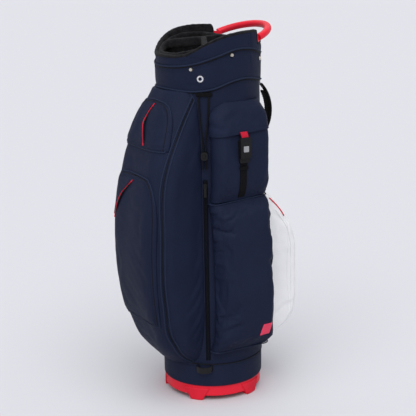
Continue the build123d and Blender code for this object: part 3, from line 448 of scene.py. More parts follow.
def make_mesh(name, points, faces, body, material, replaces=(), cloth=None):
    """Mesh piece from points in millimetres, with cloth coordinates for its weave."""
    data = bpy.data.meshes.new(name)
    points = np.asarray(points, float).reshape(-1, 3)
    data.from_pydata((points * MM).tolist(), [], [list(f) for f in faces])
    data.shade_smooth()
    if cloth is None:
        cloth = np.stack([points[:, 0] + points[:, 1], points[:, 2], points[:, 0] * 0], axis=1)
    layer = data.attributes.new("cloth", "FLOAT_VECTOR", "POINT")
    vectors = np.asarray(cloth, float).reshape(-1, 3) * MM
    layer.data.foreach_set("vector", vectors.astype(np.float32).ravel())
    data.validate()
    data.update()
    return finish_piece(bpy.data.objects.new(name, data), body, material, replaces)


def grid_faces(rows, columns, start=0, wrap=False, flip=False):
    faces = []
    last = columns if wrap else columns - 1
    for r in range(rows - 1):
        for c in range(last):
            a, b = start + r * columns + c, start + r * columns + (c + 1) % columns
            face = (a, b, b + columns, a + columns)
            faces.append(face[::-1] if flip else face)
    return faces


def tube_faces(rows, sides, closed=False):
    """Faces between a tube's rings, joined end to end or capped at both ends."""
    last = (rows - 1) * sides
    if closed:
        ends = [(a + last, (a + 1) % sides + last, (a + 1) % sides, a) for a in range(sides)]
    else:
        ends = [tuple(range(sides))[::-1], tuple(range(last, rows * sides))]
    return grid_faces(rows, sides, wrap=True) + ends


def tube_cloth(around, along):
    """Cloth coordinates of a tube's rings, from the distances round each ring and along the tube."""
    return np.stack(np.broadcast_arrays(around[None, :], along[:, None], 0.0), axis=2).reshape(-1, 3)


def cloth_coordinates(grid):
    """Distance across and along a grid, which its weave follows."""
    across = np.linalg.norm(np.diff(grid, axis=1), axis=2)
    across = np.concatenate([np.zeros((len(grid), 1)), np.cumsum(across, axis=1)], axis=1)
    across -= across[:, across.shape[1] // 2][:, None]
    along = np.linalg.norm(np.diff(grid, axis=0), axis=2).mean(axis=1)
    along = np.concatenate([[0], np.cumsum(along)])[:, None] + 0 * across
    return np.stack([across, along, 0 * across], axis=2)


def mesh_normals(grid):
    """Normals of a grid, on the side that the order of its rows and columns gives."""
    return unit(np.cross(np.gradient(grid, axis=1), np.gradient(grid, axis=0)))


def grid_normals(grid):
    """Outward normals of a grid whose rows run round the bag."""
    normals = mesh_normals(grid)
    away = grid * (1, 1, 0)
    flip = np.sign(np.median(np.sum(normals * away, axis=2))) or 1.0
    return normals * flip


def sheet_piece(name, grid, body, material, replaces=(), thick=1.6, outward=True, wrap=False):
    """Cloth panel from a grid, thickened towards its inner side."""
    rows, columns = grid.shape[:2]
    facing = np.median(np.sum(mesh_normals(grid) * (grid * (1, 1, 0)), axis=2)) > 0
    faces = grid_faces(rows, columns, wrap=wrap, flip=facing != outward)
    piece = make_mesh(name, grid, faces, body, material, replaces, cloth_coordinates(grid))
    if thick:
        solid = piece.modifiers.new("thickness", "SOLIDIFY")
        solid.thickness = thick * MM
        solid.offset = -1
        solid.use_quality_normals = False
    return piece


def frames_along(path, closed=False):
    """Tangents and two steady side directions along a path."""
    ahead = np.roll(path, -1, axis=0) - np.roll(path, 1, axis=0)
    if not closed:
        ahead[0], ahead[-1] = path[1] - path[0], path[-1] - path[-2]
    ahead = unit(ahead)
    side = np.cross(ahead[0], UP if abs(ahead[0][2]) < 0.9 else np.array([1.0, 0, 0]))
    sides = []
    for direction in ahead:
        side = side - direction * (side @ direction)
        side = side / np.linalg.norm(side)
        sides.append(side)
    sides = np.array(sides)
    return ahead, sides, np.cross(ahead, sides)


def tube_mesh(path, radius, sides=10, closed=False, flat=1.0, out=None):
    """Points, faces and cloth coordinates of a round or flattened tube with rounded ends."""
    path = np.asarray(path, float)
    ahead, first, second = frames_along(path, closed)
    if out is not None:
        second = unit(out - ahead * np.sum(out * ahead, axis=1)[:, None])
        first = np.cross(second, ahead)
    along = distance_along(path)
    scale = np.ones(len(path))
    if not closed:
        extra = radius * np.array([0.95, 0.7, 0.35])
        shrink = np.array([0.31, 0.71, 0.94])
        start = path[0] - ahead[0] * extra[:, None]
        end = path[-1] + ahead[-1] * extra[::-1, None]
        path = np.concatenate([start, path, end])
        scale = np.concatenate([shrink, scale, shrink[::-1]])
        first = np.concatenate([first[:1]] * 3 + [first] + [first[-1:]] * 3)
        second = np.concatenate([second[:1]] * 3 + [second] + [second[-1:]] * 3)
        along = np.concatenate([along[0] - extra, along, along[-1] + extra[::-1]])
    angle = np.linspace(0, 2 * math.pi, sides, endpoint=False)
    c, s = np.cos(angle)[None, :, None], np.sin(angle)[None, :, None]
    ring = first[:, None] * c + second[:, None] * s * flat
    points = path[:, None] + ring * radius * scale[:, None, None]
    return points.reshape(-1, 3), tube_faces(len(path), sides, closed), tube_cloth(angle * radius, along)


def make_parts(name, parts, body, material, replaces=()):
    """One mesh piece from several (points, faces, cloth) sets."""
    points, faces, cloth, start = [], [], [], 0
    for some_points, some_faces, some_cloth in parts:
        points.append(some_points)
        cloth.append(some_cloth)
        faces += [tuple(i + start for i in face) for face in some_faces]
        start += len(some_points)
    return make_mesh(name, np.concatenate(points), faces, body, material, replaces, np.concatenate(cloth))


def tubes(name, paths, radius, material, replaces=(), closed=False):
    """One piece of round cords or beads, all fixed to the bag."""
    make_parts(name, [tube_mesh(path, radius, closed=closed) for path in paths], "root", material, replaces)


def stitches(name, lines, body, material, pitch=3.6, length=2.5, radius=0.32):
    """Thread dashes along lines; each line is its points and the cloth's outward normals there."""
    parts = []
    for line, normals in lines:
        total = distance_along(line)[-1]
        count = max(2, int(total / pitch))
        both = spread(np.concatenate([line, normals * total * 1e-6], axis=1), count * 2)
        spots, outs = both[::2, :3], unit(both[::2, 3:])
        reach = unit(np.gradient(spots, axis=0)) * length / 2
        for spot, out, half in zip(spots, outs, reach):
            dash = np.array([spot - half, spot + out * radius * 0.7, spot + half])
            parts.append(tube_mesh(dash, radius, 5))
    make_parts(name, parts, body, material)


def strap_mesh(path, out, width, thick, bulge=0.0):
    """Flat strap with rounded selvedges along a path; out is its face's direction at each point."""
    path, out = np.asarray(path, float), unit(out)
    ahead, _, _ = frames_along(path)
    out = unit(out - ahead * np.sum(out * ahead, axis=1)[:, None])
    across = np.cross(ahead, out)
    half, edge = width / 2, thick / 2
    outline = [(-half, 0)]
    for share in np.linspace(-1, 1, 9):
        outline.append((share * (half - edge * 0.6), edge * (1 + bulge * (1 - share**2))))
    outline.append((half, 0))
    for share in np.linspace(1, -1, 9):
        outline.append((share * (half - edge * 0.6), -edge))
    outline = np.array(outline)
    points = path[:, None] + across[:, None] * outline[None, :, :1] + out[:, None] * outline[None, :, 1:]
    cloth = tube_cloth(outline[:, 0], distance_along(path))
    return points.reshape(-1, 3), tube_faces(*points.shape[:2]), cloth


# ---------- cloth relief ----------

def waves(s, z, size, seed, lean=1.0):
    """Slow uneven waves of about that size; lean above 1 stretches them upright."""
    random = np.random.default_rng(seed)
    total = np.zeros(np.broadcast(s, z).shape)
    for _ in range(12):
        angle, phase = random.uniform(0, 2 * math.pi, 2)
        rate = 2 * math.pi / (size * random.uniform(0.7, 1.6))
        total += np.sin(rate * (s * math.cos(angle) + z * math.sin(angle) / lean) + phase)
    return total / 3.5


def near_line(s, z, path):
    """Signed distance from a path, and how far along it, from 0 to 1."""
    path = np.asarray(path, float)
    best = np.full(np.broadcast(s, z).shape, 1e9)
    signed, along = best.copy(), np.zeros_like(best)
    for i, (start, end) in enumerate(zip(path, path[1:])):
        run = end - start
        share = np.clip(((s - start[0]) * run[0] + (z - start[1]) * run[1]) / (run @ run), 0, 1)
        ds, dz = s - start[0] - share * run[0], z - start[1] - share * run[1]
        distance = np.hypot(ds, dz)
        closer = distance < best
        best = np.where(closer, distance, best)
        side = np.sign(run[0] * dz - run[1] * ds)
        signed = np.where(closer, distance * np.where(side == 0, 1, side), signed)
        along = np.where(closer, (i + share) / (len(path) - 1), along)
    return signed, along


def folds(s, z, table):
    """Creases: each row is a path, a width and a depth. A groove has a low ridge beside it."""
    total = np.zeros(np.broadcast(s, z).shape)
    for path, width, depth in table:
        distance, along = near_line(s, z, path)
        fade = np.sin(math.pi * np.clip(along, 0.0, 1.0)) ** 0.8
        total += fade * depth * (0.8 * np.exp(-((distance - 1.3 * width) / (1.2 * width)) ** 2)
                                 - np.exp(-(distance / width) ** 2))
    return total


def edge_mask(shape, rows, columns):
    """1 inside a grid, falling to 0 at its border over so many rows and columns."""
    def ease(count, reach):
        place = np.arange(count)
        return np.clip(np.minimum(place, place[::-1]) / reach, 0, 1) ** 0.7

    return ease(shape[0], rows)[:, None] * ease(shape[1], columns)[None, :]


def stack_sections(section, heights, columns, close_low=5.0, close_high=5.0):
    """Grid of sections up a pocket, with both ends rounded in to the barrel."""
    rows = [level(outside(section(z)), columns, z) for z in heights]
    for ring, close, sign in ((rows[0], close_low, -1), (rows[-1], close_high, 1)):
        if not close:
            continue
        wall = np.column_stack([unit(ring[:, :2]) * POCKET_IN, ring[:, 2]])
        added = []
        for angle in np.radians([85, 70, 52, 35, 18]):
            row = wall + (ring - wall) * math.cos(angle)
            row[:, 2] = ring[:, 2] + sign * close * math.sin(angle)
            added.append(row)
        rows = added + rows if sign < 0 else rows + added[::-1]
    return np.array(rows)


class Skin:
    """A finished surface that trims, stitches and patches are laid on."""

    def __init__(self, grid):
        self.tree = BVHTree.FromPolygons(grid.reshape(-1, 3).tolist(), grid_faces(*grid.shape[:2]))

    def lay(self, points, outs, lift=0.0, reach=25.0):
        """Points dropped on the surface from outside, lifted a little, with the surface's normals there."""
        laid, normals = [], []
        for point, out in zip(np.asarray(points, float), unit(outs)):
            hit, normal, _, _ = self.tree.ray_cast(Vector(point + out * reach), Vector(-out), 2 * reach)
            if hit is None:
                continue
            normal = np.array(normal)
            normal = normal * (1 if normal @ out > 0 else -1)
            laid.append(np.array(hit) + normal * lift)
            normals.append(normal)
        return np.array(laid), np.array(normals)


def from_front(xz):
    """Start points and directions for laying things on the front pod, from x and height."""
    xz = np.asarray(xz, float)
    out = np.stack([xz[:, 0] * 0.004, -np.ones(len(xz)), 0 * xz[:, 0]], axis=1)
    depth = smooth_curve(FRONT_LEVELS, xz[:, 1])[:, 0]
    return np.stack([xz[:, 0], -depth, xz[:, 1]], axis=1), out


def from_side(yz, side=1):
    """Start points and directions for laying things on a side pocket, from y and height."""
    yz = np.asarray(yz, float)
    out = np.stack([np.full(len(yz), float(side)), yz[:, 0] * 0.004, 0 * yz[:, 0]], axis=1)
    return np.stack([np.full(len(yz), side * 145.0), yz[:, 0], yz[:, 1]], axis=1), out


def curve_through(points, count=60):
    """Even points on a smooth curve through a few points."""
    points = np.asarray(points, float)
    steps = distance_along(points)
    return spread(smooth_curve(np.column_stack([steps, points]), np.linspace(0, steps[-1], 200)), count)


def ring_path(radius, height, count=240, start=0.0, stop=360.0):
    """Points round the barrel; height is a number or a function of y."""
    angle = np.radians(np.linspace(start, stop, count, endpoint=stop - start < 359.9))
    x, y = radius * np.sin(angle), radius * np.cos(angle)
    z = height(y) if callable(height) else np.full(count, float(height))
    return np.stack([x, y, z], axis=1)


# ---------- umbrella cords ----------

CHANNEL_SIDE = np.array([math.cos(math.radians(CHANNEL)), -math.sin(math.radians(CHANNEL)), 0])
CHANNEL_OUT = np.array([math.sin(math.radians(CHANNEL)), math.cos(math.radians(CHANNEL)), 0])


def umbrella_cord(name, side):
    """One strand: a smooth line through the route's points."""
    points = [side * across * CHANNEL_SIDE + reach * CHANNEL_OUT + z * UP for across, reach, z in CORD_ROUTE]
    data = bpy.data.curves.new(name, "CURVE")
    data.dimensions = "3D"
    data.bevel_depth = CORD_R * MM
    data.bevel_resolution = 4
    data.use_fill_caps = True
    data.resolution_u = 12
    spline = data.splines.new("NURBS")
    spline.points.add(len(points) - 1)
    for spot, point in zip(spline.points, points):
        spot.co = (*point, 1)
    spline.order_u = 3
    spline.use_endpoint_u = True
    strand = bpy.data.objects.new(name.replace("cord", "strand"), data)
    finish_piece(strand, "root", CORD_BRAID, (name,))


def braid_without_cloth():
    """Braid for the cords, which are curves and carry no cloth coordinates."""
    shader = Shader("black_braid_cord", 0.75, Specular_IOR_Level=0.1)
    where = shader.place()
    wave = shader.node("ShaderNodeTexWave", wave_type="BANDS")
    wave.bands_direction = "DIAGONAL"
    wave.inputs["Scale"].default_value = 260.0
    wave.inputs["Distortion"].default_value = 1.5
    shader.link(where, wave.inputs["Vector"])
    shader.color(shader.ramp(wave.outputs["Fac"], (0.003, 0.003, 0.0035), (0.013, 0.013, 0.014), 0.2, 0.9))
    shader.bump(wave.outputs["Fac"], 0.0003)
    return shader.material


CORD_BRAID = braid_without_cloth()
umbrella_cord("umbrella_cord_front", 1)
umbrella_cord("umbrella_cord_rear", -1)


# ---------- hardware carried over from the frame ----------

def dress(node, material, bevel=0.0):
    """Better material, and softened edges, for a CAD node whose shape is right."""
    piece = NODES[node]
    piece.data.materials.clear()
    piece.data.materials.append(material)
    if bevel:
        soft = piece.modifiers.new("soft_edges", "BEVEL")
        soft.width = bevel * MM
        soft.segments = 2
        soft.limit_method = "ANGLE"
        soft.angle_limit = math.radians(50)
        soft.harden_normals = False


for node, material, bevel in (
    ("base_screws", STEEL, 0), ("shell_rivets", STEEL, 0), ("base_pad", FOAM, 0.6), ("barrel_shell", SHELL, 0),
    ("cuff_frame", SHELL, 0), ("handle_screws", STEEL, 0), ("snap_studs", GUNMETAL, 0.4),
    ("cuff_eyelet", STEEL, 0.35), ("buckle_base", BLACK, 0.8), ("buckle_cover", BLACK, 0.9),
    ("buckle_button", GREY, 0.5), ("strap_ring", STEEL, 0), ("carry_handle_rings", STEEL, 0),
    ("right_zip_slider", BLACK, 0.3), ("left_zip_slider", BLACK, 0.3), ("right_zip_pull", BLACK, 0.3),
    ("left_zip_pull", BLACK, 0.3), ("cord_lock_body", BLACK, 0.7), ("cord_lock_plunger", BLACK, 0.3),
    ("umbrella_tip_ring", BLACK, 0.6), ("base_tray", RED_SHINY, 0.5), ("lift_handle", RED_SHINY, 0.5),
):
    dress(node, material, bevel)


# ---------- base ----------

def feet():
    """Five moulded feet whose outer faces carry a small diamond tread."""
    parts = []
    radius, depth, top = 117.0, 22.0, 30.0
    half_low, half_high, border_width = 14.5, 33.0, 1.6
    for index in range(5):
        middle = 141.0 + index * 72.0
        rows, columns = 41, 81
        height = np.linspace(0, top, rows)[:, None] + np.zeros((rows, columns))
        share = np.linspace(-1, 1, columns)[None, :] + np.zeros((rows, columns))
        half = half_low + (half_high - half_low) * height / top
        across = share * half
        pitch = 4.6
        ridge = np.minimum(
            np.abs(((across + height) / pitch) % 1 - 0.5), np.abs(((across - height) / pitch) % 1 - 0.5)) * 2
        tread = 0.55 * np.clip(ridge * 2.2, 0, 1)
        border = np.minimum(np.minimum((1 - np.abs(share)) * half, height), top - height)
        keep = np.clip((border - border_width) / 1.2, 0, 1)
        rounding = 1.3 * (1 - np.clip(border / border_width, 0, 1)) ** 2
        reach = radius - 0.6 + tread * keep * 0.9 - rounding
        angle = math.radians(middle) + across / radius
        face = np.stack([reach * np.sin(angle), reach * np.cos(angle), height], axis=2)
        back_reach = np.full_like(reach, radius - depth)
        back_angle = math.radians(middle) + np.clip(across, -half + 1.5, half - 1.5) / radius
        back = np.stack([back_reach * np.sin(back_angle), back_reach * np.cos(back_angle), height], axis=2)
        count = rows * columns
        faces = grid_faces(rows, columns, flip=True) + grid_faces(rows, columns, start=count)
        border_loop = (
            list(range(columns)) + [r * columns + columns - 1 for r in range(1, rows)]
            + [(rows - 1) * columns + c for c in range(columns - 2, -1, -1)]
            + [r * columns for r in range(rows - 2, 0, -1)]
        )
        for a, b in zip(border_loop, border_loop[1:] + border_loop[:1]):
            faces.append((a, b, b + count, a + count))
        cloth = np.stack([across, height, 0 * height], axis=2)
        points = np.concatenate([face.reshape(-1, 3), back.reshape(-1, 3)])
        parts.append((points, faces, np.concatenate([cloth.reshape(-1, 3)] * 2)))
    make_parts("foot_blocks", parts, "root", RED_RUBBER, ("base_feet",))


feet()


# ---------- barrel cloth ----------

def round_sheet(
    name, radius, low, high, material, replaces, relief, spacing=2.6, thick=1.8, roll=0.0, inner=False,
):
    """Cloth right round the barrel between two edges, each a height or a function of y."""
    columns = max(12, int(2 * math.pi * radius / spacing))
    base = ring_path(radius, 0, columns)
    low_z, high_z = (
        edge(base[:, 1]) if callable(edge) else np.full(columns, float(edge)) for edge in (low, high))
    rows = max(6, int(np.max(high_z - low_z) / spacing))
    share = np.linspace(0, 1, rows)[:, None]
    z = low_z[None, :] * (1 - share) + high_z[None, :] * share
    arc = np.radians(np.linspace(0.0, 360.0, columns))[None, :] * radius + 0 * z
    lift = relief(arc, z)
    if roll:
        near = np.minimum(z - low_z[None, :], high_z[None, :] - z)
        lift = lift - roll * (1 - np.clip(near / (roll * 1.6), 0, 1)) ** 2
    reach = radius + (-lift if inner else lift)
    grid = np.concatenate([unit(base[:, :2])[None] * reach[:, :, None], z[:, :, None]], axis=2)
    sheet_piece(name, grid, "root", material, replaces, thick, outward=not inner, wrap=True)
    return grid


def upper_seam(y):
    return edge_height(UPPER_SEAM, y)


def lower_seam(y):
    return edge_height(LOWER_SEAM, y)


def rim(y):
    """Top of the cuff; behind the rear edge it drops to where the lift handle comes out."""
    drop = np.clip((np.asarray(y, float) - REAR_EDGE_Y + 1.5) / 3.0, 0, 1)
    return edge_height(RIM, y) * (1 - drop) + REAR_TOP * drop


barrel_skin = Skin(round_sheet(
    "barrel_cloth", BARREL, 90.6, lambda y: lower_seam(y) + 0.5, NAVY, ("barrel_skin",),
    lambda s, z: 0.35 * waves(s, z, 70, 1) - 0.25, spacing=3.2, thick=2.5))


def sewn_line(z, at, depth=0.5, width=0.9):
    """Groove that a row of stitches pulls into padded cloth."""
    return -depth * np.exp(-((z - at) / width) ** 2)


def band_relief(s, z):
    """Bottom band: padded, with a turned hem at its lower edge and a sewn line near its top."""
    share = np.clip((z - BAND_LOW) / (BAND_HIGH - BAND_LOW), 0, 1)
    sewn = sewn_line(z, BAND_HEM) + sewn_line(z, BAND_SEWN)
    return sewn + 0.3 * np.sin(math.pi * share) + 0.2 * waves(s, z, 60, 2)


bottom_band = Skin(round_sheet(
    "bottom_band_cloth", 117.8, BAND_LOW, BAND_HIGH - 0.4, NAVY, ("bottom_band",), band_relief, spacing=2.0,
    thick=2.5, roll=1.0))
tubes("bottom_band_bead", [ring_path(117.6, BAND_HIGH)], 1.5, NAVY_BEAD_PAINTED_HIGHLIGHT, closed=True)


# ---------- cuff ----------

def around_cuff(s, z, radius, low, high):
    """y of each point round a cuff band, and how far up the band it is, from 0 to 1."""
    y = radius * np.cos(s / radius)
    return y, np.clip((z - low(y)) / np.maximum(high(y) - low(y), 1), 0, 1)


def cuff_top(y):
    """Upper edge of the collar's cloth, under the rim's binding."""
    return rim(y) - 3.0


def cuff_band_relief(s, z):
    y, share = around_cuff(s, z, BAND_R, lower_seam, upper_seam)
    puff_out = 1.3 * np.sin(math.pi * share) ** 0.45 - 1.0
    crinkle = 0.22 * waves(s, z, 55, 3) + 0.12 * waves(s, z, 18, 4) * (share > 0.6)
    return sewn_line(z, upper_seam(y) - 8.5, 0.45) + puff_out + crinkle


def collar_relief(s, z):
    """Collar: padded, with an upright seam at each rear corner where the front part overlaps."""
    _, share = around_cuff(s, z, COLLAR_R, upper_seam, cuff_top)
    around = np.degrees(s / COLLAR_R) % 360
    seam = sum(sewn_line((around - at) * 2.1, 0, 0.6) for at in REAR_SEAMS)
    overlap = 0.5 * ((around < REAR_SEAMS[0]) | (around > REAR_SEAMS[1]))
    return 2.2 * np.sin(math.pi * share) ** 0.5 - 1.2 + seam + overlap + 0.2 * waves(s, z, 50, 5)


cuff_band = Skin(round_sheet(
    "cuff_band_cloth", BAND_R - 0.4, lower_seam, upper_seam, NAVY, ("cuff_band",), cuff_band_relief,
    spacing=1.8, thick=2.0, roll=0.6))
cuff_collar = Skin(round_sheet(
    "cuff_collar_cloth", COLLAR_R - 0.2, upper_seam, cuff_top, NAVY, ("cuff_collar",), collar_relief,
    spacing=1.6, thick=2.0))
tubes(
    "cuff_seam_beads", [ring_path(PIPING_R, upper_seam, 320), ring_path(PIPING_R, lower_seam, 320)], 2.1,
    NAVY_BEAD_PAINTED_HIGHLIGHT, ("cuff_piping",), closed=True)
# Black rings just under the cuff's seam beads: painted shade below each bead.
tubes(
    "cuff_seam_painted_shade",
    [ring_path(PIPING_R - 0.2, lambda y: upper_seam(y) - 3.2, 320),
     ring_path(PIPING_R - 1.9, lambda y: lower_seam(y) - 3.4, 320)], 1.5, LINING, closed=True)


def rim_line(radius, count=420):
    """The cuff's upper edge: round the front, down both rear corners and across the back."""
    turn = math.degrees(math.acos(REAR_EDGE_Y / 115.0))
    front = ring_path(radius, lambda y: edge_height(RIM, y) - 3.0, 260, turn + 0.8, 360 - turn - 0.8)
    back = ring_path(radius, REAR_TOP - 1.0, 120, -turn + 1.5, turn - 1.5)
    line = np.concatenate([front, back])
    line = spread(np.concatenate([line, line[:1]]), count + 1)[:-1]
    for _ in range(6):
        line = (np.roll(line, 1, axis=0) + line * 2 + np.roll(line, -1, axis=0)) / 4
    return line


def rim_binding():
    """Fleece rolled over the cuff's edge, fatter than the cloth it binds."""
    line = rim_line(115.6)
    ahead, _, _ = frames_along(line, closed=True)
    out = unit(line * (1, 1, 0))
    above = unit(np.cross(ahead, out))
    above *= np.sign(above @ UP).reshape(-1, 1)
    angle = np.linspace(0, 2 * math.pi, 20, endpoint=False)
    c, s = np.cos(angle), np.sin(angle)
    wide = np.sign(c) * np.abs(c) ** 0.75 * 5.4
    tall = np.sign(s) * np.abs(s) ** 0.75 * 3.6
    fuzz = 0.25 * waves(np.arange(len(line))[:, None] * 2.0, angle[None, :] * 5, 9, 6)
    grid = (line[:, None] + out[:, None] * (wide[None, :, None] + fuzz[:, :, None] * c[None, :, None])
            + above[:, None] * (tall[None, :, None] + fuzz[:, :, None] * s[None, :, None]))
    make_mesh("rim_fleece", grid, tube_faces(*grid.shape[:2], closed=True), "root", FLEECE, ("rim_binding",))


rim_binding()
round_sheet(
    "collar_inner_fleece", 110.3, 760.0, lambda y: rim(y) - 3.5, FLEECE, ("collar_lining",),
    lambda s, z: 0.5 * waves(s, z, 30, 7) + 0.4, spacing=2.4, thick=1.2, inner=True)
round_sheet(
    "well_lining", 110.2, 86.0, 762.0, LINING, ("barrel_lining",),
    lambda s, z: 0.3 * waves(s, z, 80, 8) + 0.3, spacing=6.0, thick=0.6, inner=True)
# Black ring where the bottom band's bead meets the barrel cloth: painted shade at the seam.
tubes("band_seam_painted_shade", [ring_path(BARREL + 0.2, BAND_HIGH + 1.0)], 1.3, LINING, closed=True)


def round_stitches():
    """Stitches on both sides of the collar's upright seams, along the cuff's seams and on the bottom band."""
    lines = []
    for seam in REAR_SEAMS:
        for at in (seam - 2.5, seam + 2.5):
            y = COLLAR_R * math.cos(math.radians(at))
            path = ring_path(COLLAR_R, 0, 2, at, at)[:1].repeat(20, axis=0)
            path[:, 2] = np.linspace(upper_seam(y)[0] + 4, edge_height(RIM, y)[0] - 9, 20)
            lines.append(cuff_collar.lay(path, path * (1, 1, 0), 0.1))
    for skin, radius, height in (
        (cuff_band, BAND_R, lambda y: upper_seam(y) - 7.2),
        (cuff_band, BAND_R, lambda y: upper_seam(y) - 9.8),
        (cuff_band, BAND_R, lambda y: lower_seam(y) + 4.5),
        (bottom_band, BARREL, BAND_HEM),
        (bottom_band, BARREL, BAND_SEWN),
        (barrel_skin, BARREL, lambda y: lower_seam(y) - 5),
    ):
        path = ring_path(radius, height, 260)
        lines.append(skin.lay(path, path * (1, 1, 0), 0.05))
    stitches("cuff_stitches", lines, "root", THREAD)


round_stitches()


# ---------- dividers ----------

def soften(nodes, name, material, voxel, passes, swell):
    """Padded form of CAD solids: remeshed as one, relaxed, swelled a little and covered in cloth."""
    corners, polygons = [], []
    for node in nodes:
        start = len(corners)
        corners += [tuple(v.co) for v in NODES[node].data.vertices]
        polygons += [tuple(i + start for i in p.vertices) for p in NODES[node].data.polygons]
    data = bpy.data.meshes.new(name)
    data.from_pydata(corners, [], polygons)
    piece = bpy.data.objects.new(name, data)
    bpy.context.scene.collection.objects.link(piece)
    remesh = piece.modifiers.new("remesh", "REMESH")
    remesh.mode = "VOXEL"
    remesh.voxel_size = voxel * MM
    relax = piece.modifiers.new("relax", "SMOOTH")
    relax.factor = 0.6
    relax.iterations = passes
    graph = bpy.context.evaluated_depsgraph_get()
    made = bpy.data.meshes.new_from_object(piece.evaluated_get(graph))
    bpy.data.objects.remove(piece)
    points = np.empty(len(made.vertices) * 3)
    normals = np.empty(len(made.vertices) * 3)
    made.vertices.foreach_get("co", points)
    made.vertices.foreach_get("normal", normals)
    points, normals = points.reshape(-1, 3) / MM, normals.reshape(-1, 3)
    around = np.degrees(np.arctan2(points[:, 0], points[:, 1])) * 2
    points += normals * (swell + 0.25 * waves(around, points[:, 2] + points[:, 1], 22.0, 9)[:, None])
    faces = [tuple(p.vertices) for p in made.polygons]
    return make_mesh(name, points, faces, "root", material, nodes)


soften(("divider_ring", "divider_bars"), "divider_fleece", FLEECE, 2.4, 7, swell=0.7)


def divider_walls():
    """Cloth walls that hang from the padded frame down to the base pad."""
    turn = math.radians(27.0)
    lines = [((side * 4, -12), (side * 101 * math.cos(turn), -10 - 101 * math.sin(turn))) for side in (-1, 1)]
    lines += [((side * 3, 45), (side * 96, 45)) for side in (-1, 1)] + [((0, -7), (0, 103))]
    parts = []
    for index, (start, end) in enumerate(lines):
        start, end = np.array(start, float), np.array(end, float)
        side = np.array([-(end - start)[1], (end - start)[0]]) / np.linalg.norm(end - start)
        across = np.linspace(0, 1, 14)[None, :]
        z = np.linspace(41, 780, 70)[:, None]
        sag = 1.2 * waves(across * 90, z, 120, 20 + index) * np.sin(math.pi * across)
        for face in (0.6, -0.6):
            xy = start + (end - start) * across[..., None] + side * (sag + face)[..., None]
            grid = np.concatenate([xy, (z + 0 * across)[..., None]], axis=2)
            faces = grid_faces(70, 14, flip=face < 0)
            parts.append((grid.reshape(-1, 3), faces, cloth_coordinates(grid).reshape(-1, 3)))
    make_parts("divider_wall_cloth", parts, "root", LINING, ("divider_sheets",))


divider_walls()


# ---------- front pod ----------

def seam_y(z):
    return float(smooth_curve(POD_SEAM, z)[0, 0])


def pod_line(z, grow=0.0):
    """Front pod's section outside the barrel, from the -X side round to +X."""
    return outside(front_section(z, grow))


def cut_by_seam(line, y_cut):
    """The stretch in front of the seam, and the two side stretches behind it."""
    front = np.nonzero(line[:, 1] < y_cut)[0]
    if len(front) < 3:
        middle = len(line) // 2
        front = np.array([middle - 1, middle, middle + 1])
    first, last = front[0], front[-1]

    def cross(a, b):
        share = (y_cut - line[a, 1]) / (line[b, 1] - line[a, 1] + 1e-9)
        return line[a] + (line[b] - line[a]) * np.clip(share, 0, 1)

    low = cross(max(first - 1, 0), first)
    high = cross(min(last + 1, len(line) - 1), last)
    panel = np.concatenate([[low], line[first:last + 1], [high]])
    left = np.concatenate([line[:first], [low]])
    right = np.concatenate([[high], line[last + 1:]])
    return panel, left, right


def tucked(grid):
    """Adds rows that turn in from the grid's upper edge to the barrel."""
    top = grid[-1]
    inward = -unit(top * (1, 1, 0))
    return np.concatenate([grid] + [(top + inward * reach + (0, 0, rise))[None] for reach, rise in (
        (1.5, 1.6), (4.0, 2.8), (7.0, 3.6), (10.0, 4.0))])


def relief_grid(grid, relief):
    """Moves a grid along its outward normals by a relief in millimetres."""
    normals = grid_normals(grid)
    return grid + normals * relief[..., None]


def in_front(line, x):
    """y of the section's front face at each x."""
    first, last = np.argmin(line[:, 0]), np.argmax(line[:, 0])
    stretch = line[min(first, last):max(first, last) + 1]
    order = np.argsort(stretch[:, 0])
    return np.interp(x, stretch[order, 0], stretch[order, 1])


def padded_sheet(name, grid, node, thick, body="root", material=NAVY):
    """Padded cloth panel that stands for one CAD node."""
    sheet_piece(name, grid, body, material, (node,), thick)


def front_panel():
    """The pod's bulging front, with shallow pulls above and below the pouches."""
    grid = np.array([
        level(cut_by_seam(pod_line(z), seam_y(z))[0], 150, z) for z in np.linspace(92, 727, 230)])
    x, z = grid[..., 0], grid[..., 2]
    relief = 0.7 * waves(x, z, 110, 31, 1.6) + 0.3 * waves(x, z, 40, 32)
    relief += folds(x, z, [
        ([(-60, 588), (-10, 570), (30, 590)], 9, 1.1), ([(60, 600), (40, 575), (5, 560)], 7, 0.9),
        ([(-70, 560), (-30, 552), (20, 548)], 6, 0.6), ([(-60, 178), (-20, 158), (30, 150)], 8, 1.0),
        ([(70, 190), (40, 165), (0, 150)], 7, 0.9), ([(80, 560), (70, 500), (86, 430)], 5, 0.5),
    ])
    grid = relief_grid(grid, relief * edge_mask(z.shape, 10, 8))
    padded_sheet("front_panel_cloth", tucked(grid), "front_panel", 2.2)
    return Skin(grid)


def gussets():
    """The two lens-shaped side walls of the pod, with slanting pulls low down beside the channel."""
    for index, name in ((1, "left_gusset_cloth"), (2, "right_gusset_cloth")):
        grid = np.array([
            level(cut_by_seam(pod_line(z), seam_y(z))[index], 64, z) for z in np.linspace(94, 730, 220)])
        y, z = grid[..., 1], grid[..., 2]
        relief = 0.9 * waves(y, z, 90, 33 + index, 2.2) + 0.35 * waves(y, z, 34, 36 + index, 1.5)
        relief += folds(y, z, [
            ([(-70, 330), (-95, 290), (-130, 250)], 7, 1.6), ([(-72, 290), (-100, 245), (-140, 215)], 6, 1.4),
            ([(-74, 250), (-100, 205), (-128, 180)], 7, 1.5), ([(-76, 215), (-96, 180), (-116, 160)], 5, 1.1),
            ([(-72, 400), (-90, 350), (-108, 320)], 8, 1.2), ([(-74, 180), (-90, 150), (-104, 135)], 5, 1.0),
            ([(-80, 640), (-100, 590), (-120, 560)], 8, 0.9), ([(-74, 470), (-84, 420), (-92, 380)], 6, 0.8),
        ])
        grid = relief_grid(grid, 0.75 * relief * edge_mask(z.shape, 12, 8))
        padded_sheet(name, tucked(grid), "front_gussets", 2.2)


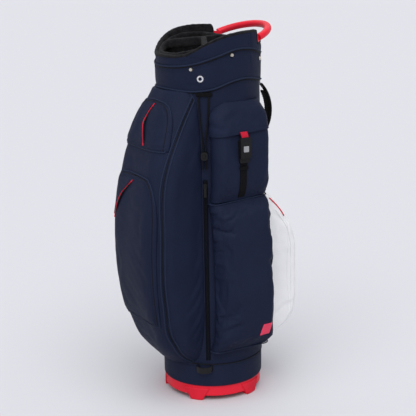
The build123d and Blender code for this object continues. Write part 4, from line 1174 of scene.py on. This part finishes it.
def pod_seam_paths(offset=0.0, lift=1.0, count=260):
    """The two seams between panel and gussets, moved forward by an offset."""
    paths = [[], []]
    for z in np.linspace(92, 728, count):
        line = pod_line(z, lift)
        y_cut = seam_y(z) - offset
        front = np.nonzero(line[:, 1] < y_cut)[0]
        if len(front) < 3:
            continue
        for path, a, b in ((paths[0], front[0] - 1, front[0]), (paths[1], front[-1] + 1, front[-1])):
            a = min(max(a, 0), len(line) - 1)
            share = np.clip((y_cut - line[a, 1]) / (line[b, 1] - line[a, 1] + 1e-9), 0, 1)
            point = line[a] + (line[b] - line[a]) * share
            path.append((*point, z))
    return [spread(np.array(path), 200) for path in paths]


def pouch_border(shape, inset, count=220):
    """Outline of a pouch in x and height, moved inwards: up one side, over the arch and down the other."""
    shape = np.array(shape, float)
    z = np.linspace(shape[0, 0], shape[-1, 0], 120)
    half = smooth_curve(shape, z)[:, 0]
    right = np.column_stack([half, z])
    line = spread(np.concatenate([right, right[::-1] * (-1, 1)]), count)
    ahead = np.gradient(line, axis=0)
    inward = unit(np.stack([-ahead[:, 1], ahead[:, 0]], axis=1))
    return line + inward * inset


def pouch(name, shape, trim, node, seed, creases):
    """Raised pocket on the front panel: padded, arch-topped, with a slot whose lip stands proud and a black strip
    under the lip as painted shade.
    """
    low, high = shape[0][0], shape[-1][0]
    columns = 96
    rows = []
    for z in np.linspace(low, high, int((high - low) / 2.0)):
        half = float(smooth_curve(shape, z)[0, 0])
        x = np.linspace(-half, half, columns)
        rows.append(np.column_stack([x, in_front(pod_line(z, 0.3), x), np.full(columns, z)]))
    grid = np.array(rows)
    x, z = grid[..., 0], grid[..., 2]
    to_edge, _ = near_line(x, z, pouch_border(shape, 0.0))
    gap = np.minimum(np.abs(to_edge), z - low)
    body = 4.8 * (1 - np.exp(-gap / 4.0)) + 3.0 * (1 - np.exp(-gap / 45))
    body -= 1.4 * np.exp(-((gap - 9.0) / 1.4) ** 2)
    slot = curve_through(trim, 40)
    distance, along = near_line(x, z, slot)
    left = distance < 0
    reach = np.abs(distance)
    lip = np.where(left, 2.6 * np.exp(-reach / 16), -2.4 * np.exp(-reach / 7))
    fade = np.clip(np.minimum(along, 1 - along) * 12, 0, 1)
    relief = body + lip * fade
    relief += (0.8 * waves(x, z, 80, seed, 1.5) + 0.2 * waves(x, z, 30, seed + 1)) * np.clip(gap / 25, 0, 1)
    relief += folds(x, z, creases) * np.clip(gap / 12, 0, 1)
    grid = relief_grid(grid, relief)
    padded_sheet(name, grid, node, 1.2)
    skin = Skin(grid)
    laid, normals = skin.lay(*from_front(slot), 0.9)
    for _ in range(12):
        laid[1:-1] = (laid[:-2] + laid[1:-1] * 2 + laid[2:]) / 4
        normals = unit(np.concatenate([normals[:1], normals[:-2] + normals[2:], normals[-1:]]))
    lip_tube = tube_mesh(laid, 1.5, 10, out=normals, flat=0.8)
    make_parts(name + "_red_lip", [lip_tube], "root", RED_CLOTH, ("front_trim",))
    # Flattened black strip beside the red lip: painted shade in the slot under the lip.
    slot_shade = laid[3:-3] + (3.0, 0, 0) - normals[3:-3] * 0.4
    make_parts(name + "_slot_painted_shade", [tube_mesh(slot_shade, 1.9, 8, out=normals[3:-3], flat=0.45)], "root", LINING)
    return skin


def pod_trim(panel_skin, pouch_skins):
    """Beads along the pod's seams and the pouches' edges, black lines beside them as painted shade, and the stitches.
    """
    double_seam = pod_seam_paths(0.0, 1.2) + pod_seam_paths(-9.5, 0.8)
    tubes("pod_seam_beads", double_seam, 2.0, NAVY_BEAD_PAINTED_HIGHLIGHT, ("gusset_piping",))
    beads, seams, pouch_shade_lines = [], [], []
    for shape, skin in pouch_skins:
        low, half = shape[0][0], shape[0][1] - 1
        bottom = np.column_stack([np.linspace(-half, half, 80), np.full(80, low + 0.2)])
        # Black line just inside each pouch's edge: painted shade beside its bead.
        pouch_shade_lines.append(skin.lay(*from_front(pouch_border(shape, 2.6)), -0.2, reach=60)[0])
        beads.append(panel_skin.lay(*from_front(pouch_border(shape, -0.6)), 1.0, reach=60)[0])
        beads.append(panel_skin.lay(*from_front(bottom), 0.9, reach=60)[0])
        seams.append(skin.lay(*from_front(pouch_border(shape, 9.0)), 0.05, reach=60))
        seams.append(skin.lay(*from_front(bottom * (0.96, 1) + (0, 5)), 0.05, reach=60))
    tubes("pouch_beads", beads, 1.9, NAVY_BEAD_PAINTED_HIGHLIGHT)
    # Black lines beside the pod's seam beads and inside the pouches' edges: painted shade.
    tubes("pod_seam_painted_shade", pod_seam_paths(-4.6, 0.9) + pouch_shade_lines, 0.95, LINING)
    for path in pod_seam_paths(7.0, 0.0):
        out = np.column_stack([path[:, 0] * 0.012, -np.ones(len(path)), 0 * path[:, 0]])
        seams.append(panel_skin.lay(path, out, 0.05, reach=30))
    stitches("pod_stitches", [s for s in seams if len(s[0]) > 10], "root", THREAD)


panel_skin = front_panel()
gussets()
upper_pouch = pouch(
    "upper_pouch_cloth", UPPER_POUCH, UPPER_TRIM, "front_upper_pocket", 41,
    [([(60, 690), (70, 660), (62, 630)], 6, 1.0), ([(40, 640), (60, 625), (80, 640)], 6, 0.9),
     ([(-50, 690), (-40, 650), (-60, 620)], 7, 0.8), ([(25, 660), (45, 650), (70, 655)], 7, 0.7)])
lower_pouch = pouch(
    "lower_pouch_cloth", LOWER_POUCH, LOWER_TRIM, "front_lower_pocket", 44,
    [([(70, 500), (50, 440), (62, 380)], 9, 1.0), ([(80, 420), (60, 340), (75, 280)], 8, 0.9),
     ([(-80, 300), (-40, 240), (10, 215)], 10, 1.1), ([(70, 260), (40, 225), (0, 212)], 8, 1.0),
     ([(-10, 500), (20, 470), (60, 470)], 8, 0.7), ([(-70, 400), (-50, 330), (-70, 270)], 9, 0.8)])
pod_trim(panel_skin, ((UPPER_POUCH, upper_pouch), (LOWER_POUCH, lower_pouch)))


# ---------- side pockets ----------

def side_grid(levels, low, high, rows, columns, close_high=6.0, side=1):
    """Grid of a side pocket's sections; side is -1 for the left."""
    grid = stack_sections(
        lambda z: side_section(levels, z), np.linspace(low, high, rows), columns, close_low=6.0,
        close_high=close_high)
    return grid * (side, 1, 1)


def droop(points):
    """Lets the edge between the two right pockets fall towards the front."""
    near = np.exp(-((points[..., 2] - DROOP_EDGE) / 90.0) ** 2)
    fall = 9.0 * np.clip((60 - points[..., 1]) / 140, 0, 1) * near
    return points - fall[..., None] * (0, 0, 1)


def puff(s, z, low, high, half, reach):
    """Crown of a padded pocket: full in the middle, pulled in at its seams."""
    near = np.minimum(np.minimum(z - low, high - z), half - np.abs(s))
    return 1 - np.exp(-np.clip(near, 0, None) / reach)


def relax_cloth(grid, pressure, growth, frames, cap, hold):
    """Cloth simulation of a sewn panel: its border is held by the seams while the padding pushes it out."""
    rows, columns = grid.shape[:2]
    data = bpy.data.meshes.new("sewn_panel_sim")
    data.from_pydata((grid.reshape(-1, 3) * MM).tolist(), [], grid_faces(rows, columns))
    piece = bpy.data.objects.new("sewn_panel_sim", data)
    bpy.context.scene.collection.objects.link(piece)
    held = piece.vertex_groups.new(name="held")
    for r in range(rows):
        for c in range(columns):
            from_edge = min(r - hold[0], rows - 1 - hold[0] - r, c - hold[1], columns - 1 - hold[1] - c)
            if from_edge <= 0:
                held.add([r * columns + c], 1.0, "REPLACE")
    cloth = piece.modifiers.new("cloth", "CLOTH")
    settings = cloth.settings
    settings.quality = 6
    settings.mass = 0.25
    settings.tension_stiffness = settings.compression_stiffness = 18
    settings.shear_stiffness = 8
    settings.bending_stiffness = 0.6
    settings.vertex_group_mass = "held"
    settings.shrink_min = -growth
    settings.use_pressure = True
    facing = np.median(np.sum(mesh_normals(grid) * grid * (1, 1, 0), axis=2))
    settings.uniform_pressure_force = pressure if facing > 0 else -pressure
    settings.effector_weights.gravity = 0
    cloth.collision_settings.use_collision = False
    scene = bpy.context.scene
    scene.frame_start, scene.frame_end = 1, frames
    cloth.point_cache.frame_start, cloth.point_cache.frame_end = 1, frames
    for frame_number in range(1, frames + 1):
        scene.frame_set(frame_number)
    made = piece.evaluated_get(bpy.context.evaluated_depsgraph_get())
    points = np.empty(rows * columns * 3)
    made.to_mesh().vertices.foreach_get("co", points)
    made.to_mesh_clear()
    bpy.data.objects.remove(piece)
    scene.frame_set(1)
    moved = points.reshape(rows, columns, 3) / MM - grid
    distance = np.linalg.norm(moved, axis=2, keepdims=True)
    return grid + moved * np.minimum(1, cap / np.maximum(distance, 1e-6))


def lower_side_pocket():
    """Big pocket under the flap pocket, with gathers under its top seam and pulls at its lower corner."""
    grid = side_grid(LOWER_LEVELS, 130, 484, 118, 110)
    y, z = grid[..., 1], grid[..., 2]
    relief = 2.0 * puff(y, z, 126, 490, 105, 22) - 1.4
    relief += 0.8 * waves(y, z, 90, 51, 1.6) + 0.35 * waves(y, z, 34, 52)
    relief += folds(y, z, [
        ([(-78, 470), (-52, 446), (-30, 450), (-4, 470)], 6, 1.8), ([(-76, 448), (-60, 424), (-34, 420)], 5, 1.5),
        ([(-80, 420), (-66, 396), (-52, 392)], 5, 1.3), ([(-78, 476), (-66, 462), (-50, 470)], 4, 1.2),
        ([(-74, 392), (-62, 372), (-50, 372)], 5, 1.0), ([(-30, 474), (-6, 458), (22, 468)], 6, 1.0),
        ([(-74, 160), (-46, 186), (-14, 200)], 6, 1.6), ([(-70, 142), (-34, 164), (6, 172)], 5, 1.4),
        ([(-74, 186), (-54, 214), (-34, 224)], 5, 1.1), ([(-30, 140), (4, 152), (40, 150)], 5, 1.0),
        ([(60, 460), (40, 430), (20, 424)], 7, 1.0), ([(92, 400), (80, 330), (90, 260)], 7, 0.9),
    ])
    grid = relief_grid(grid, relief * edge_mask(z.shape, 7, 5))
    grid = droop(relax_cloth(grid, pressure=3.0, growth=0.03, frames=18, cap=6.0, hold=(7, 4)))
    padded_sheet("right_lower_pocket_cloth", grid, "right_lower_pocket", 2.0)
    return Skin(grid)


def upper_side_pocket():
    """Pocket under the flap, kept flat where the buckle's strap lies."""
    grid = side_grid(UPPER_LEVELS, 491, 684, 66, 104, close_high=0)
    y, z = grid[..., 1], grid[..., 2]
    relief = 1.6 * puff(y, z, 486, 760, 100, 18) - 1.3
    relief += 0.7 * waves(y, z, 70, 54, 1.5) + 0.3 * waves(y, z, 30, 55)
    relief += folds(y, z, [
        ([(60, 560), (44, 530), (30, 512)], 6, 1.2), ([(76, 540), (60, 514), (44, 504)], 5, 1.1),
        ([(-70, 600), (-56, 560), (-60, 520)], 7, 1.0), ([(-60, 540), (-40, 512), (-16, 506)], 5, 1.0),
        ([(50, 610), (64, 580), (60, 550)], 6, 0.8),
    ])
    relief *= edge_mask(z.shape, 7, 5)
    keep_flat = 1 - np.exp(-((y - 2) / 22) ** 4) * (z < 640)
    grid = droop(relief_grid(grid, relief * (0.35 + 0.65 * keep_flat) - 0.4))
    padded_sheet("right_upper_pocket_cloth", grid, "right_upper_pocket", 2.0)
    return Skin(grid)


def flap():
    """Flap over the upper pocket: one padded panel that turns down over its ends and front."""
    columns, rows = 120, 44
    hem = edge_height(FLAP_HEM, np.linspace(-84, 84, columns))
    sections = {}
    base = []
    for share in np.linspace(0, 1, rows):
        row = []
        for c, z in enumerate(hem * (1 - share) + FLAP_TOP * share):
            at = round(float(z) * 2) / 2
            if at not in sections:
                sections[at] = spread(outside(side_section(UPPER_LEVELS, at, FLAP_OUT)), columns)
            row.append((*sections[at][c], z))
        base.append(row)
    grid = np.array(base)
    y, z = grid[..., 1], grid[..., 2]
    relief = 0.6 * waves(y, z, 60, 57, 0.8) + 0.3 * waves(y, z, 24, 58)
    relief += folds(y, z, [
        ([(-60, 690), (-30, 668), (-10, 690)], 7, 1.0), ([(30, 694), (48, 670), (66, 676)], 6, 0.9),
        ([(-74, 668), (-50, 650), (-30, 652)], 6, 0.8), ([(10, 690), (30, 664), (60, 660)], 7, 0.7),
    ])
    relief += 0.9 * np.exp(-((z - edge_height(FLAP_HEM, y.ravel()).reshape(y.shape) - 1.5) / 2.0) ** 2)
    grid = relief_grid(grid, relief * edge_mask(z.shape, 2, 3))
    top = grid[-1]
    inner = []
    for share in (0.35, 0.7, 1.0):
        wall = np.column_stack([unit(top[:, :2]) * (POCKET_IN + 0.9), top[:, 2] + 2.6])
        row = top + (wall - top) * share
        row[:, 2] = top[:, 2] + 3.2 * math.sin(share * math.pi / 2)
        inner.append(row)
    grid = np.concatenate([grid, np.array(inner)])
    padded_sheet("flap_cloth", grid, "right_flap", 2.4, body="flap")
    return Skin(grid)


def emblem(skin):
    """Plain slanted lozenge, welded on."""
    centre_y, centre_z, half, slant = 53.0, 173.0, 13.0, 5.0
    count = 22
    across, up = np.meshgrid(np.linspace(-1, 1, count), np.linspace(-1, 1, count))
    y = centre_y + across * half + up * slant
    z = centre_z + up * half
    laid, _ = skin.lay(*from_side(np.column_stack([y.ravel(), z.ravel()])), 0.9, reach=40)
    edge = np.minimum(1 - np.abs(across), 1 - np.abs(up))
    grid = relief_grid(laid.reshape(count, count, 3), -0.8 * np.clip(1 - edge / 0.12, 0, 1) ** 2)
    sheet_piece("emblem_lozenge", grid, "root", RED_FILM, ("emblem_patch",), 0.6)


def left_pocket():
    """Tall garment pocket on the left."""
    grid = side_grid(GARMENT_LEVELS, 130, 703, 170, 110, side=-1)
    y, z = grid[..., 1], grid[..., 2]
    relief = 2.0 * puff(y, z, 126, 708, 105, 24) - 1.4
    relief += 0.9 * waves(y, z, 110, 61, 2.0) + 0.35 * waves(y, z, 36, 62)
    relief += folds(y, z, [
        ([(-74, 660), (-50, 620), (-20, 610)], 8, 1.5), ([(70, 670), (50, 630), (20, 620)], 7, 1.3),
        ([(-74, 430), (-50, 400), (-20, 396)], 8, 1.2), ([(-72, 170), (-40, 200), (0, 208)], 7, 1.5),
        ([(80, 160), (50, 190), (20, 198)], 7, 1.2), ([(80, 520), (60, 470), (70, 410)], 8, 1.1),
        ([(-60, 560), (-30, 530), (10, 536)], 9, 1.0), ([(-60, 300), (-30, 270), (0, 276)], 9, 1.0),
    ])
    grid = relief_grid(grid, relief * edge_mask(z.shape, 7, 5))
    padded_sheet("left_garment_pocket_cloth", grid, "left_garment_pocket", 2.0)
    return Skin(grid)


def back_pocket():
    """White pocket on the spine."""
    grid = stack_sections(back_section, np.linspace(130, 464, 112), 120)
    z = grid[..., 2]
    around = np.arange(grid.shape[1])[None, :] * 3.0 + 0 * z
    relief = 2.0 * (1 - np.exp(-np.clip(np.minimum(z - 126, 468 - z), 0, None) / 20)) - 1.4
    relief += 0.9 * waves(around, z, 90, 64, 1.6) + 0.35 * waves(around, z, 34, 65)
    relief += folds(around, z, [
        ([(40, 430), (80, 400), (120, 396)], 8, 1.4), ([(330, 430), (290, 400), (250, 394)], 8, 1.4),
        ([(30, 160), (70, 190), (120, 196)], 7, 1.3), ([(330, 160), (290, 186), (250, 190)], 7, 1.2),
        ([(60, 330), (100, 300), (150, 310)], 9, 0.9), ([(300, 300), (260, 260), (210, 262)], 9, 0.9),
    ])
    grid = relief_grid(grid, relief * edge_mask(z.shape, 7, 5))
    padded_sheet("back_pocket_cloth", grid, "back_pocket", 2.0, material=WHITE)
    return Skin(grid)


lower_skin = lower_side_pocket()
upper_skin = upper_side_pocket()
flap_skin = flap()
emblem(lower_skin)
left_skin = left_pocket()
back_skin = back_pocket()


def along_side(levels, share, low, high, side):
    """Upright line on a side pocket at a share of the way round its section, and its outward directions."""
    path, outs = [], []
    index = int(round(share * 199))
    for z in np.linspace(low, high, 120):
        line = spread(outside(side_section(levels, z)), 200)
        tangent = line[index + 1] - line[index - 1]
        out = np.array([tangent[1], -tangent[0]])
        out = out * np.sign(out @ line[index])
        path.append((side * line[index][0], line[index][1], z))
        outs.append((side * out[0], out[1], 0))
    return np.array(path), unit(np.array(outs))


def round_side(levels, z, side, grow=0.0):
    """Level line round a side pocket, and its outward directions."""
    line = spread(outside(side_section(levels, z, grow)), 148)[4:144]
    tangent = np.gradient(line, axis=0)
    out = np.stack([tangent[:, 1], -tangent[:, 0]], axis=1)
    out *= np.sign(np.sum(out * line, axis=1))[:, None]
    path = np.column_stack([line * (side, 1), np.full(len(line), z)])
    return path, unit(np.column_stack([out * (side, 1), 0 * line[:, :1]]))


def side_trim():
    """Beads and stitches of the side pockets, and the rows of stitches along the flap's hem."""
    beads, rows = [], []
    for levels, skin, low, high, side in (
        (LOWER_LEVELS, lower_skin, 146, 472, 1), (UPPER_LEVELS, upper_skin, 504, 634, 1),
        (GARMENT_LEVELS, left_skin, 146, 688, -1),
    ):
        for share in (0.185, 0.815):
            rows.append(skin.lay(*along_side(levels, share, low, high, side), 0.05))
    for levels, skin, z, side in (
        (LOWER_LEVELS, lower_skin, 478, 1), (LOWER_LEVELS, lower_skin, 138, 1),
        (UPPER_LEVELS, upper_skin, 497, 1), (GARMENT_LEVELS, left_skin, 138, -1), (GARMENT_LEVELS, left_skin, 690, -1),
    ):
        rows.append(skin.lay(*round_side(levels, z, side), 0.05))
    for levels, z, side in (
        (LOWER_LEVELS, 486.5, 1), (LOWER_LEVELS, 127.5, 1), (GARMENT_LEVELS, 127.0, -1),
        (GARMENT_LEVELS, 706, -1),
    ):
        path, _ = round_side(levels, z, side, grow=0.5)
        beads.append(droop(path) if side == 1 else path)
    tubes("side_pocket_beads", beads, 1.4, NAVY_BEAD_PAINTED_HIGHLIGHT)
    stitches("side_pocket_stitches", [r for r in rows if len(r[0]) > 10], "root", THREAD)
    y = np.linspace(-74, 76, 120)
    hem = np.column_stack([y, edge_height(FLAP_HEM, y)])
    flap_rows = [flap_skin.lay(*from_side(hem + (0, rise)), 0.05, reach=60) for rise in (3.5, 6.0)]
    stitches("flap_stitches", flap_rows, "flap", THREAD)


side_trim()


def lay_back(x, y, z, out, lift=0.05, reach=90.0):
    """Lays a line on the back pocket; x, y and z are numbers or lists of them."""
    points = np.column_stack(np.broadcast_arrays(x, y, z))
    return back_skin.lay(points, np.tile(np.array(out, float), (len(points), 1)), lift, reach)


def back_trim():
    """Red edges, side beads and pale stitches of the back pocket."""
    edges, beads, rows = [], [], []
    curve = curve_through(BACK_TRIM, 50)
    z = np.linspace(150, 430, 90)
    corner_y = smooth_curve(np.array(BACK_LEVELS)[:, :2], z)[:, 0] - 26
    for side in (1, -1):
        edges.append(lay_back(side * 90.0, curve[:, 0], curve[:, 1], (side, 0.12, 0), 0.8, 40)[0])
        beads.append(lay_back(side * 90.0, corner_y, z, (side, 0.05, 0), 0.2, 40)[0])
    for x in (-70.0, 70.0):
        rows.append(lay_back(x, 160.0, np.linspace(150, 400, 110), (x * 0.01, 1.0, 0)))
    for height in (146.0, 436.0):
        rows.append(lay_back(np.linspace(-60, 60, 80), 170.0, height, (0, 1.0, 0)))
    edges = [line for line in edges if len(line) > 8]
    tubes("back_pocket_red_edge", edges, 1.5, RED_CLOTH, ("back_pocket_trim",))
    tubes("back_pocket_beads", [line for line in beads if len(line) > 10], 0.9, WHITE)
    stitches("back_pocket_stitches", [r for r in rows if len(r[0]) > 10], "root", PALE_THREAD)


back_trim()


# ---------- straps, tabs and the carry handle ----------

def strap_on_pocket(name, low, high, count, width, thick, lift, node):
    """Upright strap laid on the upper side pocket."""
    line = np.column_stack([np.full(count, STRAP_Y), np.linspace(low, high, count)])
    laid, normals = upper_skin.lay(*from_side(line), thick / 2 + lift, reach=40)
    make_parts(name, [strap_mesh(laid, normals, width, thick)], "root", WEB, (node,))


strap_on_pocket("buckle_strap_web", 492, 582, 50, 18.0, 1.6, 0.2, "buckle_strap")
strap_on_pocket("strap_keeper_web", 556, 564, 8, 22.0, 2.0, 1.9, "strap_keeper")


def flap_tab_web():
    """Red webbing loop between the flap's hem and the buckle's cover."""
    z = np.linspace(641, 629, 14)
    x = np.linspace(146.6, 153.4, 14) + 0.8 * np.sin(np.linspace(0, math.pi, 14))
    path = np.column_stack([x, np.full(14, STRAP_Y), z])
    out = np.tile([1.0, 0, 0.45], (14, 1))
    strap = strap_mesh(path, out, 18.0, 2.2, bulge=0.1)
    make_parts("flap_tab_red_web", [strap], "flap", RED_WEB, ("flap_tab",))


flap_tab_web()


def umbrella_tab_web():
    """Flat webbing loop under the cuff that the umbrella cord is sewn into."""
    angle = np.radians(np.linspace(116.5, 133.5, 34))
    reach = 120.3 + 0.9 * np.sin(np.linspace(0, math.pi, 34))
    path = np.column_stack([reach * np.sin(angle), reach * np.cos(angle), np.full(34, 724.0)])
    strap = strap_mesh(path, path * (1, 1, 0), 9.0, 1.8)
    make_parts("umbrella_tab_web", [strap], "root", WEB, ("umbrella_tab",))


umbrella_tab_web()


def carry_handle():
    """Webbing arc with a ribbed grip pad between two metal rings."""
    turn = np.radians(np.linspace(-46, 46, 90))
    radius = GRIP_OUT - 1.25
    path = np.column_stack([0 * turn, GRIP_Y + radius * np.cos(turn), GRIP_Z + radius * np.sin(turn)])
    out = np.column_stack([0 * turn, np.cos(turn), np.sin(turn)])
    strap = strap_mesh(path, out, 16.0, 2.3)
    make_parts("carry_handle_web", [strap], "carry_handle", WEB, ("carry_handle_webbing",))
    rows, sides = 150, 40
    turn = np.radians(np.linspace(-33, 33, rows))
    share = np.linspace(-1, 1, rows)
    ends = np.sqrt(np.clip(1 - np.abs(share) ** 14, 0, 1))
    ribs = 0.45 * np.cos(np.linspace(0, 2 * math.pi * 17, rows)) * (np.abs(share) < 0.9)
    angle = np.linspace(0, 2 * math.pi, sides, endpoint=False)
    c, s = np.cos(angle), np.sin(angle)
    wide = np.sign(c) * np.abs(c) ** 0.5
    tall = np.sign(s) * np.abs(s) ** 0.6
    middle = GRIP_OUT - 6.25
    reach = middle + (3.6 * ends + ribs)[:, None] * tall[None]
    points = np.stack([
        (13.4 * (0.85 + 0.15 * ends) + 0.5 * ribs)[:, None] * wide[None],
        GRIP_Y + reach * np.cos(turn)[:, None], GRIP_Z + reach * np.sin(turn)[:, None]], axis=2)
    piece = make_mesh(
        "carry_handle_grip", points, tube_faces(rows, sides), "carry_handle", WEB, ("carry_handle_pad",),
        tube_cloth(angle * 10, turn * middle))
    parts = []
    turn = np.linspace(-2.4, 2.4, 30)
    for height in (GRIP_Z + 66, GRIP_Z - 66):
        loop = np.column_stack([4.0 * np.sin(turn), LOOP_Y + 4.2 * np.cos(turn), height + 0 * turn])
        parts.append(strap_mesh(loop, loop - (0, LOOP_Y, height), 8.6, 1.3))
    make_parts("carry_handle_tab_web", parts, "root", WEB, ("carry_handle_tabs",))


carry_handle()


def strap_ring_web():
    """Webbing loop that the strap ring hangs from."""
    turn = np.linspace(-2.6, 2.6, 30)
    loop = np.column_stack([0 * turn, 125.0 + 2.9 * np.sin(turn), 782.0 - 2.9 * np.cos(turn)])
    tail = np.array([(0, 121.9, 786.0), (0, 121.9, 790.5)])
    loop = np.concatenate([loop[::-1], tail])
    strap = strap_mesh(loop, loop - (0, 124.2, 784.0), 20.0, 1.2)
    make_parts("strap_ring_web", [strap], "root", WEB, ("strap_ring_tab",))


def towel_loop_braid():
    """Braided loop over the strap ring."""
    share = np.linspace(-1, 1, 24)
    arc = np.column_stack([0 * share, 121.6 + 8.0 * np.sqrt(1 - share**2), 809 + 9.0 * share])
    tubes("towel_loop_braid", [arc], 1.2, BRAID, ("towel_loop",))


strap_ring_web()
towel_loop_braid()


# ---------- zips ----------

def zips():
    """Two channel zips: woven tape with a row of moulded teeth."""
    tapes, teeth = [], []
    for side in (1, -1):
        for offset in (-1.35, 1.35):
            angle = math.radians(CHANNEL + offset)
            z = np.linspace(ZIP_LOW, ZIP_HIGH, 120)
            reach = 118.9 + 0.25 * waves(z, 0 * z, 60, 70 + side)
            path = np.column_stack([side * reach * math.sin(angle), reach * math.cos(angle), z])
            tapes.append(strap_mesh(path, path * (1, 1, 0), 4.5, 1.0))
        out, across = CHANNEL_OUT * (side, 1, 1), CHANNEL_SIDE * (side, 1, 1)
        for index, z in enumerate(np.arange(ZIP_LOW + 1.5, ZIP_HIGH - 1, 1.5)):
            middle = out * 119.7 + UP * z + across * (1.4 if index % 2 else -1.4)
            teeth.append(tube_mesh(np.array([middle - across * 0.4, middle + across * 0.4]), 0.55, 6))
    make_parts("zip_tape_web", tapes, "root", ZIP_WEB, ("zip_tapes",))
    make_parts("zip_teeth", teeth, "root", BLACK)


zips()


# ---------- stage and light ----------

def stage():
    """Plain pale floor and soft studio light."""
    bpy.ops.mesh.primitive_circle_add(vertices=96, radius=40, fill_type="NGON", location=(0, 0, 0))
    floor = bpy.context.object
    floor.name = "studio_floor"
    shader = Shader("studio_floor", 0.95, Specular_IOR_Level=0.1)
    shader.main.inputs["Base Color"].default_value = (0.625, 0.627, 0.662, 1)
    floor.data.materials.append(shader.material)
    world = bpy.data.worlds.new("studio")
    bpy.context.scene.world = world
    world.use_nodes = True
    tree = world.node_tree
    around, behind = tree.nodes["Background"], tree.nodes.new("ShaderNodeBackground")
    around.inputs["Color"].default_value = (0.955, 0.965, 1.0, 1)
    around.inputs["Strength"].default_value = 0.50
    behind.inputs["Color"].default_value = (0.775, 0.785, 0.82, 1)
    path, mix = tree.nodes.new("ShaderNodeLightPath"), tree.nodes.new("ShaderNodeMixShader")
    tree.links.new(path.outputs["Is Camera Ray"], mix.inputs[0])
    tree.links.new(around.outputs[0], mix.inputs[1])
    tree.links.new(behind.outputs[0], mix.inputs[2])
    tree.links.new(mix.outputs[0], tree.nodes["World Output"].inputs["Surface"])
    lights = (
        ("key", (0.40, -0.24, 1.0), 60, 2.1),
        ("fill", (0.75, -0.75, 0.6), 60, 0.45),
        ("back", (-0.8, 0.6, 0.8), 60, 0.4),
    )
    for name, place, spread_angle, power in lights:
        lamp = bpy.data.lights.new(name, "SUN")
        lamp.angle = math.radians(spread_angle)
        lamp.energy = power
        made = bpy.data.objects.new(name, lamp)
        bpy.context.scene.collection.objects.link(made)
        made.rotation_mode = "QUATERNION"
        made.rotation_quaternion = (-Vector(place)).to_track_quat("-Z", "Y")
    bpy.context.scene.view_settings.view_transform = "Standard"


stage()
